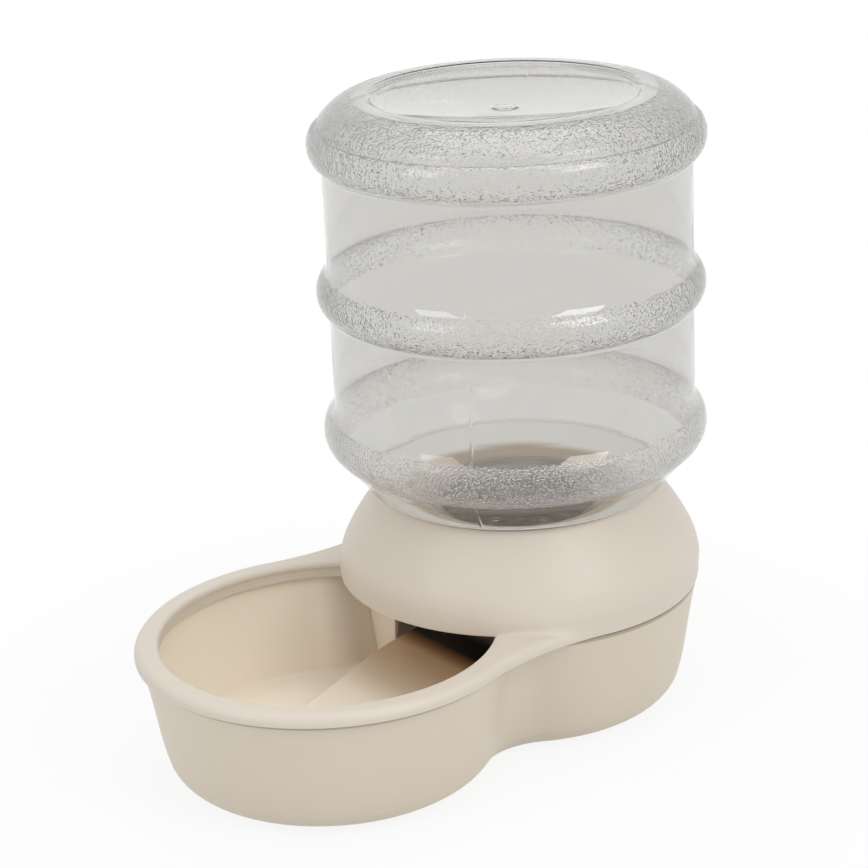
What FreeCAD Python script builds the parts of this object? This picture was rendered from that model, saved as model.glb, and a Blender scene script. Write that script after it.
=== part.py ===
"""Automatic pet waterer: a moulded two-piece base and an inverted screw-cap bottle.

Lengths are millimetres.  The floor is z = 0, +Z is up and the bowl points to -Y.
Every body is drawn about the bottle's axis and then moved back by the same
amount, so that the middle of the whole footprint lies at the origin.
"""
import FreeCAD
import Part
import Sketcher
import math
import os

SIZES = [
    # bottle, read from its silhouette
    ("bottle_radius", 80.0, "outer radius of the plain cylinder walls"),
    ("bottle_wall", 1.0, "wall of the blown bottle"),
    ("top_bead_outstand", 6.0, "how far the top bead stands out of the cylinder"),
    ("top_bead_height", 260.7, "height of the top bead's widest ring"),
    ("top_bead_curve", 12.0, "radius of the top bead's section"),
    ("crown_curve", 20.5, "radius of the shoulder that closes the bottle's end"),
    ("crown_inset", 17.0, "from the cylinder's wall to where the end's slope turns level"),
    ("crown_slope", 45.0, "slope of the cone between crown and top bead, degrees"),
    ("crown_ring_width", 3.0, "width of the crown's flat ring"),
    ("recess_curve", 3.0, "rounding of the crown's inner edge"),
    ("recess_foot_curve", 2.0, "rounding where the recess meets its disc"),
    ("recess_angle", 160.0, "where the recess's two roundings meet, degrees"),
    ("middle_bead_outstand", 5.3, "how far the middle bead stands out"),
    ("middle_bead_height", 195.0, "height of the middle bead's widest ring"),
    ("middle_bead_curve", 11.0, "radius of the middle bead's section"),
    ("lower_bead_outstand", 5.3, "how far the lower bead stands out"),
    ("lower_bead_height", 131.2, "height of the lower bead's widest ring"),
    ("lower_bead_curve", 13.0, "radius of the lower bead's section"),
    ("crisp_blend", 2.2, "tight blend from wall to bead"),
    ("soft_blend", 8.0, "easy blend above the middle bead"),
    ("wide_blend", 14.0, "wide blend above the lower bead"),
    ("taper_slope", 45.0, "slope of the cone under the lower bead, degrees"),
    ("throat_slope", 53.0, "slope of the steeper cone below it, degrees"),
    ("throat_blend", 6.0, "blend between the two cones"),
    ("corner_inset", 16.0, "from the cylinder's wall to the centre of the rounding at the shoulder"),
    ("corner_height", 107.9, "height of that centre"),
    ("corner_curve", 4.0, "radius of that rounding"),
    ("shoulder_slope", 20.0, "slope of the shoulder the bottle stands on, degrees"),
    ("neck_radius", 34.0, "outer radius of the neck"),
    ("neck_blend", 5.0, "blend between shoulder and neck"),
    ("mouth_height", 57.2, "height of the mouth's rim when seated"),
    # neck and cap thread
    ("thread_pitch", 6.0, "rise of the thread in one turn"),
    ("thread_depth", 2.0, "height of the ridge above its wall"),
    ("thread_root", 2.6, "width of the ridge at its root"),
    ("thread_crest", 1.2, "width of the ridge at its crest"),
    ("thread_root_depth", 0.4, "how far a ridge is rooted in its wall"),
    ("thread_start", 3.5, "from the mouth's rim to the first ridge's middle"),
    ("thread_length", 12.0, "rise of the ridge from end to end"),
    ("thread_gap", 0.8, "from a ridge's crest to the other piece's wall"),
    # cap and gasket
    ("cap_wall", 2.6, "thickness of the cap's skirt"),
    ("cap_floor", 2.5, "thickness of the cap's end"),
    ("cap_height", 24.0, "height of the cap over all"),
    ("cap_edge", 1.2, "rounding of the cap's outer edge"),
    ("grip_count", 36, "number of grip ribs"),
    ("grip_radius", 0.8, "radius of one grip rib"),
    ("grip_inset", 2.4, "from the cap's ends to the ends of the grip ribs"),
    ("port_radius", 10.0, "radius of the water port"),
    ("spoke_count", 3, "number of spokes that hold the guide"),
    ("spoke_width", 3.0, "width of one spoke"),
    ("guide_radius", 5.0, "outer radius of the stem's guide"),
    ("guide_length", 6.7, "length of the guide"),
    ("gasket_thickness", 1.6, "thickness of the cap's gasket"),
    ("gasket_width", 4.0, "radial width of the gasket"),
    ("gasket_gap", 0.3, "gap between the gasket and the cap's thread"),
    ("face_gap", 0.1, "gap between flat faces that part in use"),
    # valve
    ("stem_radius", 2.5, "radius of the valve's stem"),
    ("stem_gap", 0.08, "running gap between stem and guide"),
    ("valve_lift", 5.0, "how far the post opens the valve"),
    ("valve_radius", 12.5, "radius of the stem's head"),
    ("valve_thickness", 2.0, "thickness of the head"),
    ("seal_radius", 12.0, "outer radius of the seal ring"),
    ("seal_width", 4.6, "radial width of the seal ring"),
    ("seal_thickness", 1.5, "thickness of the seal ring"),
    ("spring_radius", 3.9, "radius to the middle of the spring's wire"),
    ("spring_wire", 0.8, "thickness of the spring's wire"),
    ("spring_length", 7.0, "space for the spring with the valve open"),
    ("spring_turns", 3.25, "number of coils"),
    ("spring_seat_gap", 0.1, "gap at each end of the spring"),
    ("retainer_radius", 7.5, "radius of the clip on the stem's end"),
    ("retainer_thickness", 2.6, "thickness of the clip"),
    ("retainer_floor", 0.8, "thickness under the stem's end"),
    # base outline, seen from above
    ("bowl_distance", 108.8, "from the bottle's axis to the bowl's centre"),
    ("rim_bowl_radius", 83.6, "outer radius of the rim around the bowl"),
    ("rim_rear_inset", 0.8, "from the dome's widest ring to the rim behind the bottle"),
    ("rim_waist_radius", 125.0, "radius of the hollow at the waist"),
    ("rim_width", 11.0, "width of the rim around the bowl's opening"),
    ("rim_overhang", 2.6, "how far the rim hangs over the tub around the bowl"),
    ("rim_rear_overhang", 0.4, "how far the rim hangs over the tub behind the bottle"),
    ("tub_waist_radius", 20.0, "radius of the tub's hollow at the waist"),
    # base heights
    ("foot_height", 1.2, "how far the feet stand out of the tub"),
    ("underside_depth", 4.8, "depth of the recess under the tub's floor"),
    ("underside_ring", 3.0, "width of the level ring around that recess"),
    ("tub_floor", 3.0, "thickness of the tub's floor"),
    ("tub_wall", 3.0, "thickness of the tub's wall"),
    ("tub_draft", 12.0, "lean of the tub's walls, degrees"),
    ("tub_bottom_curve", 12.0, "rounding around the tub's bottom"),
    ("tub_inner_curve", 4.0, "rounding around the tub's floor"),
    ("seam_height", 56.6, "height of the seam between tub and top frame"),
    ("tongue_height", 3.0, "how far the tub's tongue rises above the seam"),
    ("tongue_wall", 1.4, "thickness of that tongue"),
    ("tongue_gap", 0.2, "gap around the tongue"),
    ("seam_gap", 0.3, "gap that shows at the seam"),
    ("rim_height", 62.4, "top of the rim"),
    ("rim_outer_curve", 4.2, "rounding of the rim's outer edge"),
    ("rim_inner_curve", 2.0, "rounding of the rim's inner edge"),
    ("skirt_wall", 2.2, "thickness of the skirt inside the rim"),
    ("skirt_drop", 8.0, "how far the skirt hangs below the rim's top"),
    ("tab_count", 5, "number of snap tabs behind the skirt"),
    ("tab_sweep", 240.0, "sweep of the row of snap tabs, degrees"),
    ("tab_width", 8.0, "width of one snap tab"),
    ("tab_height", 3.0, "height of one snap tab"),
    # dome
    ("dome_overhang", 1.8, "how far the dome's widest ring stands out of the bottle's cylinder"),
    ("dome_height", 64.2, "height of the dome's widest ring"),
    ("dome_side_curve", 32.0, "radius of the dome's lower section"),
    ("dome_turn", 27.0, "where the two sections meet, degrees"),
    ("dome_top_curve", 115.0, "radius of the dome's upper section"),
    ("dome_end", 41.0, "where the upper section ends, degrees"),
    ("dome_wall", 2.4, "thickness of the dome"),
    ("dome_crest_curve", 1.2, "rounding of the dome's crest"),
    ("dome_lip_height", 61.4, "height of the lip that hangs over the bowl"),
    ("dome_hole_gap", 2.0, "from the cap's ribs to the hole in the dome"),
    ("dome_collar_length", 8.0, "length of the collar under the hole"),
    ("dome_band_sweep", 206.0, "sweep of the dome's band behind the waist, degrees"),
    ("dome_band_root", 0.8, "how far that band is rooted in the rim"),
    # doorway, ramp and post
    ("doorway_wall_distance", 42.0, "from the bottle's axis to the doorway wall"),
    ("doorway_wall", 2.5, "thickness of the doorway wall"),
    ("doorway_half_width", 40.0, "half the width of the doorway"),
    ("doorway_wall_gap", 0.4, "gap between doorway wall and top frame"),
    ("ramp_half_width", 33.0, "half the width of the ramp"),
    ("ramp_toe", 105.0, "from the bottle's axis to the ramp's toe"),
    ("ramp_knee", 60.0, "from the bottle's axis to the ramp's knee"),
    ("ramp_knee_height", 24.9, "height of the ramp at its knee"),
    ("ramp_end", 16.0, "from the bottle's axis to the ramp's end"),
    ("ramp_end_height", 32.7, "height of the ramp at its end"),
    ("ramp_wall", 2.5, "thickness of the ramp's skin"),
    ("ramp_cell_start", 8.0, "from the ramp's toe to the hollows under it"),
    ("ramp_cell_width", 19.0, "width of one hollow under the ramp"),
    ("ramp_cell_count", 3, "number of hollows under the ramp"),
    ("post_radius", 5.0, "radius of the post that opens the valve"),
    ("post_fin_reach", 9.0, "reach of the post's fins at its foot"),
    ("post_fin_wall", 2.0, "thickness of a fin"),
    ("post_fin_count", 4, "number of fins"),
    ("post_fin_drop", 9.0, "from the post's top to the fins' upper ends"),
    ("post_gap", 0.3, "from the post to the clip above it"),
    # feet
    ("foot_radius", 8.0, "radius of a rubber foot"),
    ("foot_recess", 1.2, "depth of the recess that holds a foot"),
    ("foot_recess_gap", 0.1, "gap around a foot in its recess"),
    ("foot_boss_wall", 2.0, "wall around that recess"),
    ("foot_edge", 0.6, "rounding of a foot's lower edge"),
    ("foot_side", 38.0, "from the middle line to a foot"),
    ("foot_inset", 50.8, "from the tub's ends at its brim to a foot"),
]

doc = FreeCAD.newDocument("pet_waterer")
sheet = doc.addObject("Spreadsheet::Sheet", "Sizes")
for row, (alias, value, meaning) in enumerate(SIZES, start=1):
    sheet.set(f"A{row}", alias)
    sheet.set(f"B{row}", str(value))
    sheet.set(f"C{row}", meaning)
    sheet.setAlias(f"B{row}", alias)
doc.recompute()
places = doc.addObject("App::VarSet", "Places")


class Amount:
    """A number kept together with the expression that gives it from the sheet."""

    def __init__(self, text, number):
        self.text = text
        self.number = float(number)

    def joined(self, sign, other, number):
        return Amount(f"({self.text} {sign} {other.text})", number)

    def __add__(self, other):
        other = amount(other)
        return self.joined("+", other, self.number + other.number)

    def __sub__(self, other):
        other = amount(other)
        return self.joined("-", other, self.number - other.number)

    def __mul__(self, other):
        other = amount(other)
        return self.joined("*", other, self.number * other.number)

    def __truediv__(self, other):
        other = amount(other)
        return self.joined("/", other, self.number / other.number)

    def __neg__(self):
        return Amount(f"(0 - {self.text})", -self.number)


def amount(value):
    """The value as an Amount, whether it is one already or a plain number."""
    if isinstance(value, Amount):
        return value
    return Amount(repr(float(value)), value)


def size(alias):
    """One driving dimension of the sheet."""
    return Amount(f"Sizes.{alias}", sheet.get(alias))


def place(name, value, meaning):
    """Store a worked-out value under its own name, and return it."""
    places.addProperty("App::PropertyFloat", name, "Places", meaning)
    places.setExpression(name, value.text)
    return Amount(f"Places.{name}", value.number)


def root(value):
    return Amount(f"sqrt({value.text})", math.sqrt(value.number))


def cosine(angle):
    return Amount(f"cos({angle.text} * 1 deg)", math.cos(math.radians(angle.number)))


def sine(angle):
    return Amount(f"sin({angle.text} * 1 deg)", math.sin(math.radians(angle.number)))


def tangent(angle):
    return Amount(f"tan({angle.text} * 1 deg)", math.tan(math.radians(angle.number)))


ZERO = amount(0)


# Sketches and features

def new_body(label):
    """An empty body that is drawn about the bottle's axis."""
    body = doc.addObject("PartDesign::Body", label)
    body.Label = label
    body.setExpression("Placement.Base.y", axis_y.text)
    return body


def new_sketch(body, name, role, height=None):
    """A sketch on one of the body's own planes, raised by the given height."""
    sketch = body.newObject("Sketcher::SketchObject", name)
    plane = [item for item in body.Origin.OriginFeatures if item.Role == role][0]
    sketch.AttachmentSupport = (plane, [""])
    sketch.MapMode = "FlatFace"
    if height is not None:
        sketch.setExpression("AttachmentOffset.Base.z", height.text)
    return sketch


def bind(sketch, constraint, value):
    index = sketch.addConstraint(constraint)
    sketch.setExpression(f"Constraints[{index}]", value.text)


def pin_point(sketch, index, end, point):
    """Tie one end of an edge to its place."""
    for kind, value, axis in (("DistanceX", point[0], -2), ("DistanceY", point[1], -1)):
        if value is ZERO:
            sketch.addConstraint(Sketcher.Constraint("PointOnObject", index, end, axis))
        else:
            bind(sketch, Sketcher.Constraint(kind, -1, 1, index, end, value.number), value)


def vector(point):
    return FreeCAD.Vector(point[0].number, point[1].number, 0)


def arc_edge(start, end, radius, turn):
    """The arc under a half circle from start to end: turn +1 is anticlockwise."""
    first, last = vector(start), vector(end)
    chord = last.sub(first)
    middle = first.add(last).multiply(0.5)
    left = FreeCAD.Vector(-chord.y, chord.x, 0).normalize()
    rise = math.sqrt(max(radius ** 2 - (chord.Length / 2) ** 2, 0))
    centre = middle.add(left.multiply(turn * rise))
    return centre, first, last


def draw(sketch, path):
    """Draw a closed outline; a second call on a sketch adds a second outline.

    path lists the corners in order, each as (point, edge), where edge is None
    for a straight line to the next corner or (radius, turn, long_way) for an arc.
    """
    base = sketch.GeometryCount
    count = len(path)
    for order, (start, edge) in enumerate(path):
        end = path[(order + 1) % count][0]
        if edge is None:
            sketch.addGeometry(Part.LineSegment(vector(start), vector(end)), False)
            continue
        radius, turn, long_way = edge
        centre, first, last = arc_edge(start, end, radius.number, -turn if long_way else turn)
        begin = math.atan2(first.y - centre.y, first.x - centre.x)
        finish = math.atan2(last.y - centre.y, last.x - centre.x)
        if turn < 0:
            begin, finish = finish, begin
        circle = Part.Circle(centre, FreeCAD.Vector(0, 0, 1), radius.number)
        sketch.addGeometry(Part.ArcOfCircle(circle, begin, finish), False)
    for order, (start, edge) in enumerate(path):
        after = (order + 1) % count
        clockwise = bool(edge) and edge[1] < 0
        next_edge = path[after][1]
        next_clockwise = bool(next_edge) and next_edge[1] < 0
        join = Sketcher.Constraint("Coincident", base + order, 1 if clockwise else 2,
                                   base + after, 2 if next_clockwise else 1)
        sketch.addConstraint(join)
        pin_point(sketch, base + order, 2 if clockwise else 1, start)
        if edge:
            bind(sketch, Sketcher.Constraint("Radius", base + order, edge[0].number), edge[0])


def add_circle(sketch, centre, radius):
    circle = Part.Circle(vector(centre), FreeCAD.Vector(0, 0, 1), radius.number)
    index = sketch.addGeometry(circle, False)
    pin_point(sketch, index, 3, centre)
    bind(sketch, Sketcher.Constraint("Radius", index, radius.number), radius)


def circle_sketch(body, name, height, centre, *radii):
    sketch = new_sketch(body, name, "XY_Plane", height)
    for radius in radii:
        add_circle(sketch, centre, radius)
    return sketch


def rectangle(low_x, high_x, low_y, high_y):
    corners = (low_x, low_y), (high_x, low_y), (high_x, high_y), (low_x, high_y)
    return [(corner, None) for corner in corners]


def outline_sketch(body, name, role, path, height=None):
    sketch = new_sketch(body, name, role, height)
    draw(sketch, path)
    return sketch


def pad(body, sketch, length, symmetric=False, downwards=False):
    feature = body.newObject("PartDesign::Pad", sketch.Name + "_pad")
    feature.Profile = sketch
    feature.setExpression("Length", length.text)
    feature.Midplane = symmetric
    feature.Reversed = downwards
    return feature


def pocket(body, sketch, length, symmetric=False, upwards=False):
    """Cut the sketch's shape out, downwards unless upwards is set."""
    feature = body.newObject("PartDesign::Pocket", sketch.Name + "_pocket")
    feature.Profile = sketch
    feature.setExpression("Length", length.text)
    feature.Midplane = symmetric
    feature.Reversed = upwards
    return feature


def revolve(body, sketch, sweep=None):
    """Turn the sketch about its upright axis, all round or evenly by sweep."""
    feature = body.newObject("PartDesign::Revolution", sketch.Name + "_revolution")
    feature.Profile = sketch
    feature.ReferenceAxis = (sketch, ["V_Axis"])
    if sweep is None:
        feature.Angle = 360
    else:
        feature.setExpression("Angle", sweep.text)
        feature.Midplane = True
    return feature


def helix(body, sketch, pitch, height):
    """Sweep the sketch along a right-handed helix about the bottle's axis."""
    feature = body.newObject("PartDesign::AdditiveHelix", sketch.Name + "_helix")
    feature.Profile = sketch
    feature.ReferenceAxis = (sketch, ["V_Axis"])
    feature.Mode = 0
    feature.setExpression("Pitch", pitch.text)
    feature.setExpression("Height", height.text)
    feature.Angle = 0
    feature.LeftHanded = False
    feature.Reversed = False
    return feature


def ring_pattern(body, features, count):
    """Repeat features about the upright axis."""
    pattern = body.newObject("PartDesign::PolarPattern", features[0].Name + "_ring")
    pattern.Originals = features
    axis = [item for item in body.Origin.OriginFeatures if item.Role == "Z_Axis"][0]
    pattern.Axis = (axis, [""])
    pattern.Angle = 360
    pattern.setExpression("Occurrences", count.text)
    body.Tip = pattern
    return pattern


def row_pattern(body, features, count, length):
    """Repeat features along X, evenly over the given length."""
    pattern = body.newObject("PartDesign::LinearPattern", features[0].Name + "_row")
    pattern.Originals = features
    axis = [item for item in body.Origin.OriginFeatures if item.Role == "X_Axis"][0]
    pattern.Direction = (axis, [""])
    pattern.setExpression("Length", length.text)
    pattern.setExpression("Occurrences", count.text)
    body.Tip = pattern
    return pattern


def mirror_across_x(body, features):
    """Repeat features on the other side of the middle plane."""
    mirror = body.newObject("PartDesign::Mirrored", features[0].Name + "_mirror")
    mirror.Originals = features
    plane = [item for item in body.Origin.OriginFeatures if item.Role == "YZ_Plane"][0]
    mirror.MirrorPlane = (plane, [""])
    body.Tip = mirror
    return mirror


def level_edges(feature, height, keep=lambda edge: True):
    """Names of the edges of the feature that lie wholly at the given height."""
    names = []
    for index, edge in enumerate(feature.Shape.Edges, start=1):
        box = edge.BoundBox
        if abs(box.ZMin - height) < 1e-4 and abs(box.ZMax - height) < 1e-4 and keep(edge):
            names.append(f"Edge{index}")
    return names


def fillet(body, feature, names, radius):
    rounded = body.newObject("PartDesign::Fillet", feature.Name + "_fillet")
    rounded.Base = (feature, names)
    rounded.setExpression("Radius", radius.text)
    doc.recompute()
    return rounded


def unit(angle):
    """Unit vector at the given angle above the outward direction."""
    return cosine(angle), sine(angle)


def shifted(point, direction, distance):
    return point[0] + direction[0] * distance, point[1] + direction[1] * distance


# Places that several pieces share

opening_radius = place("opening_radius", size("rim_bowl_radius") - size("rim_width"),
                       "radius of the bowl's opening")
tub_bowl_radius = place("tub_bowl_radius", size("rim_bowl_radius") - size("rim_overhang"),
                        "outer radius of the tub around the bowl")
dome_radius = place("dome_radius", size("bottle_radius") + size("dome_overhang"), "widest radius of the dome")
rim_rear_radius = place("rim_rear_radius", dome_radius - size("rim_rear_inset"),
                        "outer radius of the rim behind the bottle")
tub_rear_radius = place("tub_rear_radius", rim_rear_radius - size("rim_rear_overhang"),
                        "outer radius of the tub behind the bottle")
crown_radius = place("crown_radius", size("bottle_radius") - size("crown_inset"),
                     "where the end's slope turns level")
corner_radius = place("corner_radius", size("bottle_radius") - size("corner_inset"),
                      "centre of the rounding where cone meets shoulder")
front_foot = place("front_foot_distance", size("bowl_distance") + tub_bowl_radius - size("foot_inset"),
                   "from the bottle's axis to the front feet")
rear_foot = place("rear_foot_distance", tub_rear_radius - size("foot_inset"),
                  "from the bottle's axis to the rear feet")
front_reach = size("bowl_distance") + size("rim_bowl_radius")
rear_reach = size("bottle_radius") + size("top_bead_outstand")
axis_y = place("axis_y", (front_reach - rear_reach) / 2, "the bottle's axis behind the origin")
bowl_centre = (ZERO, -size("bowl_distance"))

cap_inner = place("cap_inner", size("neck_radius") + size("thread_depth") + size("thread_gap"),
                  "inner radius of the cap")
cap_outer = place("cap_outer", cap_inner + size("cap_wall"), "outer radius of the cap")
gasket_low = place("gasket_low", size("mouth_height") - size("gasket_thickness") - size("face_gap"),
                   "underside of the gasket")
cap_top_face = place("cap_top_face", gasket_low - size("face_gap"), "upper face of the cap's end")
cap_low = place("cap_low", cap_top_face - size("cap_floor"), "underside of the cap")
guide_low = place("guide_low", cap_top_face - size("guide_length"), "lower end of the stem's guide")
retainer_top = place("retainer_top", guide_low - size("spring_length"), "upper face of the clip")
retainer_low = place("retainer_low", retainer_top - size("retainer_thickness"), "underside of the clip")
seal_low = place("seal_low", cap_top_face + size("face_gap") + size("valve_lift"),
                 "underside of the seal with the valve open")
tub_floor_top = place("tub_floor_top", size("foot_height") + size("underside_depth") + size("tub_floor"),
                      "upper face of the tub's floor")
inside_floor = place("inside_floor", tub_floor_top - size("tub_floor") / 2,
                     "middle of the tub's floor, where what stands on it is rooted")
tongue_top = place("tongue_top", size("seam_height") + size("tongue_height"), "top of the tub's tongue")
frame_low = place("frame_low", size("seam_height") + size("seam_gap"), "lower edge of the top frame")


# Outline of the base

def waist(bowl_radius, rear_radius, waist_radius, name):
    """Centre of the hollow arc that touches both circles, right of the middle."""
    far = rear_radius + waist_radius
    near = bowl_radius + waist_radius
    span = size("bowl_distance")
    along = place(name + "_waist_along", (span * span + far * far - near * near) / (span * 2),
                  "waist centre, forward of the bottle's axis")
    across = place(name + "_waist_across", root(far * far - along * along),
                   "waist centre, sideways of the bottle's axis")
    return across, along


def figure_eight(bowl_radius, rear_radius, waist_radius, centre, inset):
    """Two circles joined by hollow arcs, drawn in by the inset all round."""
    across, along = centre
    span = size("bowl_distance")
    rear = rear_radius - inset
    bowl = bowl_radius - inset
    hollow = waist_radius + inset
    to_rear = rear / (rear_radius + waist_radius)
    to_bowl = bowl / (bowl_radius + waist_radius)
    rear_x = across * to_rear
    rear_y = -(along * to_rear)
    bowl_x = across * to_bowl
    bowl_y = (span - along) * to_bowl - span
    return [
        ((rear_x, rear_y), (rear, 1, True)),
        ((-rear_x, rear_y), (hollow, -1, False)),
        ((-bowl_x, bowl_y), (bowl, 1, True)),
        ((bowl_x, bowl_y), (hollow, -1, False)),
    ]


rim_sizes = (size("rim_bowl_radius"), rim_rear_radius, size("rim_waist_radius"))
tub_sizes = (tub_bowl_radius, tub_rear_radius, size("tub_waist_radius"))
rim_waist = waist(*rim_sizes, "rim")
tub_waist = waist(*tub_sizes, "tub")


def tub_outline(inset):
    return figure_eight(*tub_sizes, tub_waist, inset)


def tub_half_width(along, inset):
    """Half width of the tub's outline at the waist, at a distance from the bottle's axis."""
    hollow = size("tub_waist_radius") + inset
    off = along - tub_waist[1]
    return tub_waist[0] - root(hollow * hollow - off * off)


# Tub: bowl and rear chamber in one moulding

def make_base_tub():
    body = new_body("base_tub")
    lean = tangent(size("tub_draft"))
    wall_height = size("seam_height") - size("foot_height")
    low_inset = place("tub_low_inset", wall_height * lean, "how far the wall leans in at the bottom")
    bottom = outline_sketch(body, "tub_bottom", "XY_Plane", tub_outline(low_inset), size("foot_height"))
    shell = pad(body, bottom, wall_height)
    shell.setExpression("TaperAngle", size("tub_draft").text)
    doc.recompute()
    fillet(body, shell, level_edges(shell, size("foot_height").number), size("tub_bottom_curve"))

    brim = outline_sketch(body, "tub_inside", "XY_Plane", tub_outline(size("tub_wall")), size("seam_height"))
    inside = pocket(body, brim, size("seam_height") - tub_floor_top)
    inside.setExpression("TaperAngle", f"-{size('tub_draft').text}")
    doc.recompute()
    fillet(body, inside, level_edges(inside, tub_floor_top.number), size("tub_inner_curve"))

    tongue_inner = size("tub_wall")
    tongue_outer = size("tub_wall") - size("tongue_wall")
    tongue = new_sketch(body, "tub_tongue", "XY_Plane", size("seam_height"))
    draw(tongue, tub_outline(tongue_outer))
    draw(tongue, tub_outline(tongue_inner))
    pad(body, tongue, size("tongue_height"))

    cut_underside(body, low_inset)
    add_doorway_wall(body)
    add_ramp(body)
    add_post(body)
    cut_foot_recesses(body)
    return body


def cut_underside(body, low_inset):
    """A recess under the floor, and the bosses in it that hold the feet."""
    rounding = size("tub_bottom_curve") * tangent((amount(90) - size("tub_draft")) / 2)
    inset = place("underside_inset", low_inset + rounding + size("underside_ring"),
                  "from the tub's brim line to the recess under its floor")
    recess = outline_sketch(body, "underside", "XY_Plane", tub_outline(inset), size("foot_height"))
    pocket(body, recess, size("underside_depth"), upwards=True)
    bosses = new_sketch(body, "foot_bosses", "XY_Plane", size("foot_height"))
    for side, along in FOOT_PLACES.values():
        radius = size("foot_radius") + size("foot_recess_gap") + size("foot_boss_wall")
        add_circle(bosses, (side, along), radius)
    pad(body, bosses, inside_floor - size("foot_height"))


def add_doorway_wall(body):
    """Upright walls on both sides of the doorway, between bowl and chamber."""
    lean = tangent(size("tub_draft"))
    top = size("rim_height") - size("skirt_drop") - size("doorway_wall_gap")
    half_wall = size("tub_wall") / 2
    along = size("doorway_wall_distance")
    top_half = place("doorway_wall_top_half",
                     tub_half_width(along, half_wall + (size("seam_height") - top) * lean),
                     "half width of the doorway wall at its top")
    low_half = place("doorway_wall_low_half",
                     tub_half_width(along, half_wall + (size("seam_height") - inside_floor) * lean),
                     "half width of the doorway wall at its foot")
    inner = size("doorway_half_width")
    path = [((inner, inside_floor), None), ((low_half, inside_floor), None), ((top_half, top), None),
            ((inner, top), None)]
    sketch = new_sketch(body, "doorway_wall", "XZ_Plane", along - size("doorway_wall") / 2)
    draw(sketch, path)
    jamb = pad(body, sketch, size("doorway_wall"))
    mirror_across_x(body, [jamb])


def add_ramp(body):
    """A ramp that rises from the bowl's floor into the doorway, hollow below."""
    toe, knee, end = -size("ramp_toe"), -size("ramp_knee"), -size("ramp_end")
    skin = [
        ((toe, inside_floor), None),
        ((toe, tub_floor_top), None),
        ((knee, size("ramp_knee_height")), None),
        ((end, size("ramp_end_height")), None),
        ((end, inside_floor), None),
    ]
    ramp = outline_sketch(body, "ramp", "YZ_Plane", skin)
    pad(body, ramp, size("ramp_half_width") * 2, symmetric=True)

    wall = size("ramp_wall")
    rise = (size("ramp_knee_height") - tub_floor_top) / (size("ramp_toe") - size("ramp_knee"))
    upper_rise = (size("ramp_end_height") - size("ramp_knee_height")) / (size("ramp_knee") - size("ramp_end"))
    start = toe + size("ramp_cell_start")
    under = size("foot_height")
    hollow = [
        ((start, under), None),
        ((start, tub_floor_top - wall + size("ramp_cell_start") * rise), None),
        ((knee, size("ramp_knee_height") - wall), None),
        ((end - wall, size("ramp_end_height") - wall - wall * upper_rise), None),
        ((end - wall, under), None),
    ]
    first = size("ramp_half_width") - wall - size("ramp_cell_width") / 2
    cell = outline_sketch(body, "ramp_cell", "YZ_Plane", hollow, -first)
    cut = pocket(body, cell, size("ramp_cell_width"), symmetric=True)
    row_pattern(body, [cut], size("ramp_cell_count"), first * 2)


def add_post(body):
    """The post that pushes the valve open, with fins at its foot."""
    top = retainer_low - size("post_gap")
    post = circle_sketch(body, "post", inside_floor, (ZERO, ZERO), size("post_radius"))
    pad(body, post, top - inside_floor)
    reach, half = size("post_fin_reach"), size("post_fin_wall") / 2
    path = [
        ((ZERO, inside_floor), None),
        ((reach, inside_floor), None),
        ((reach, tub_floor_top), None),
        ((size("post_radius"), top - size("post_fin_drop")), None),
        ((ZERO, top - size("post_fin_drop")), None),
    ]
    sketch = outline_sketch(body, "post_fin", "XZ_Plane", path)
    fin = pad(body, sketch, half * 2, symmetric=True)
    ring_pattern(body, [fin], size("post_fin_count"))


def cut_foot_recesses(body):
    """Shallow round recesses that hold the feet."""
    sketch = new_sketch(body, "foot_recesses", "XY_Plane", size("foot_height"))
    for side, along in FOOT_PLACES.values():
        add_circle(sketch, (side, along), size("foot_radius") + size("foot_recess_gap"))
    body.Tip = pocket(body, sketch, size("foot_recess"), upwards=True)


# Top frame: rim, skirt, land and dome in one moulding

def dome_side_radius(height, inset):
    """Radius of the dome's lower section at a height, drawn in by the inset."""
    curve = size("dome_side_curve") - inset
    off = height - size("dome_height")
    return dome_radius - size("dome_side_curve") + root(curve * curve - off * off)


def around_opening(edge):
    """Whether the edge starts on the circle of the bowl's opening."""
    point = edge.valueAt(edge.FirstParameter)
    away = math.hypot(point.x - bowl_centre[0].number, point.y - bowl_centre[1].number)
    return abs(away - opening_radius.number) < 0.01


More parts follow.
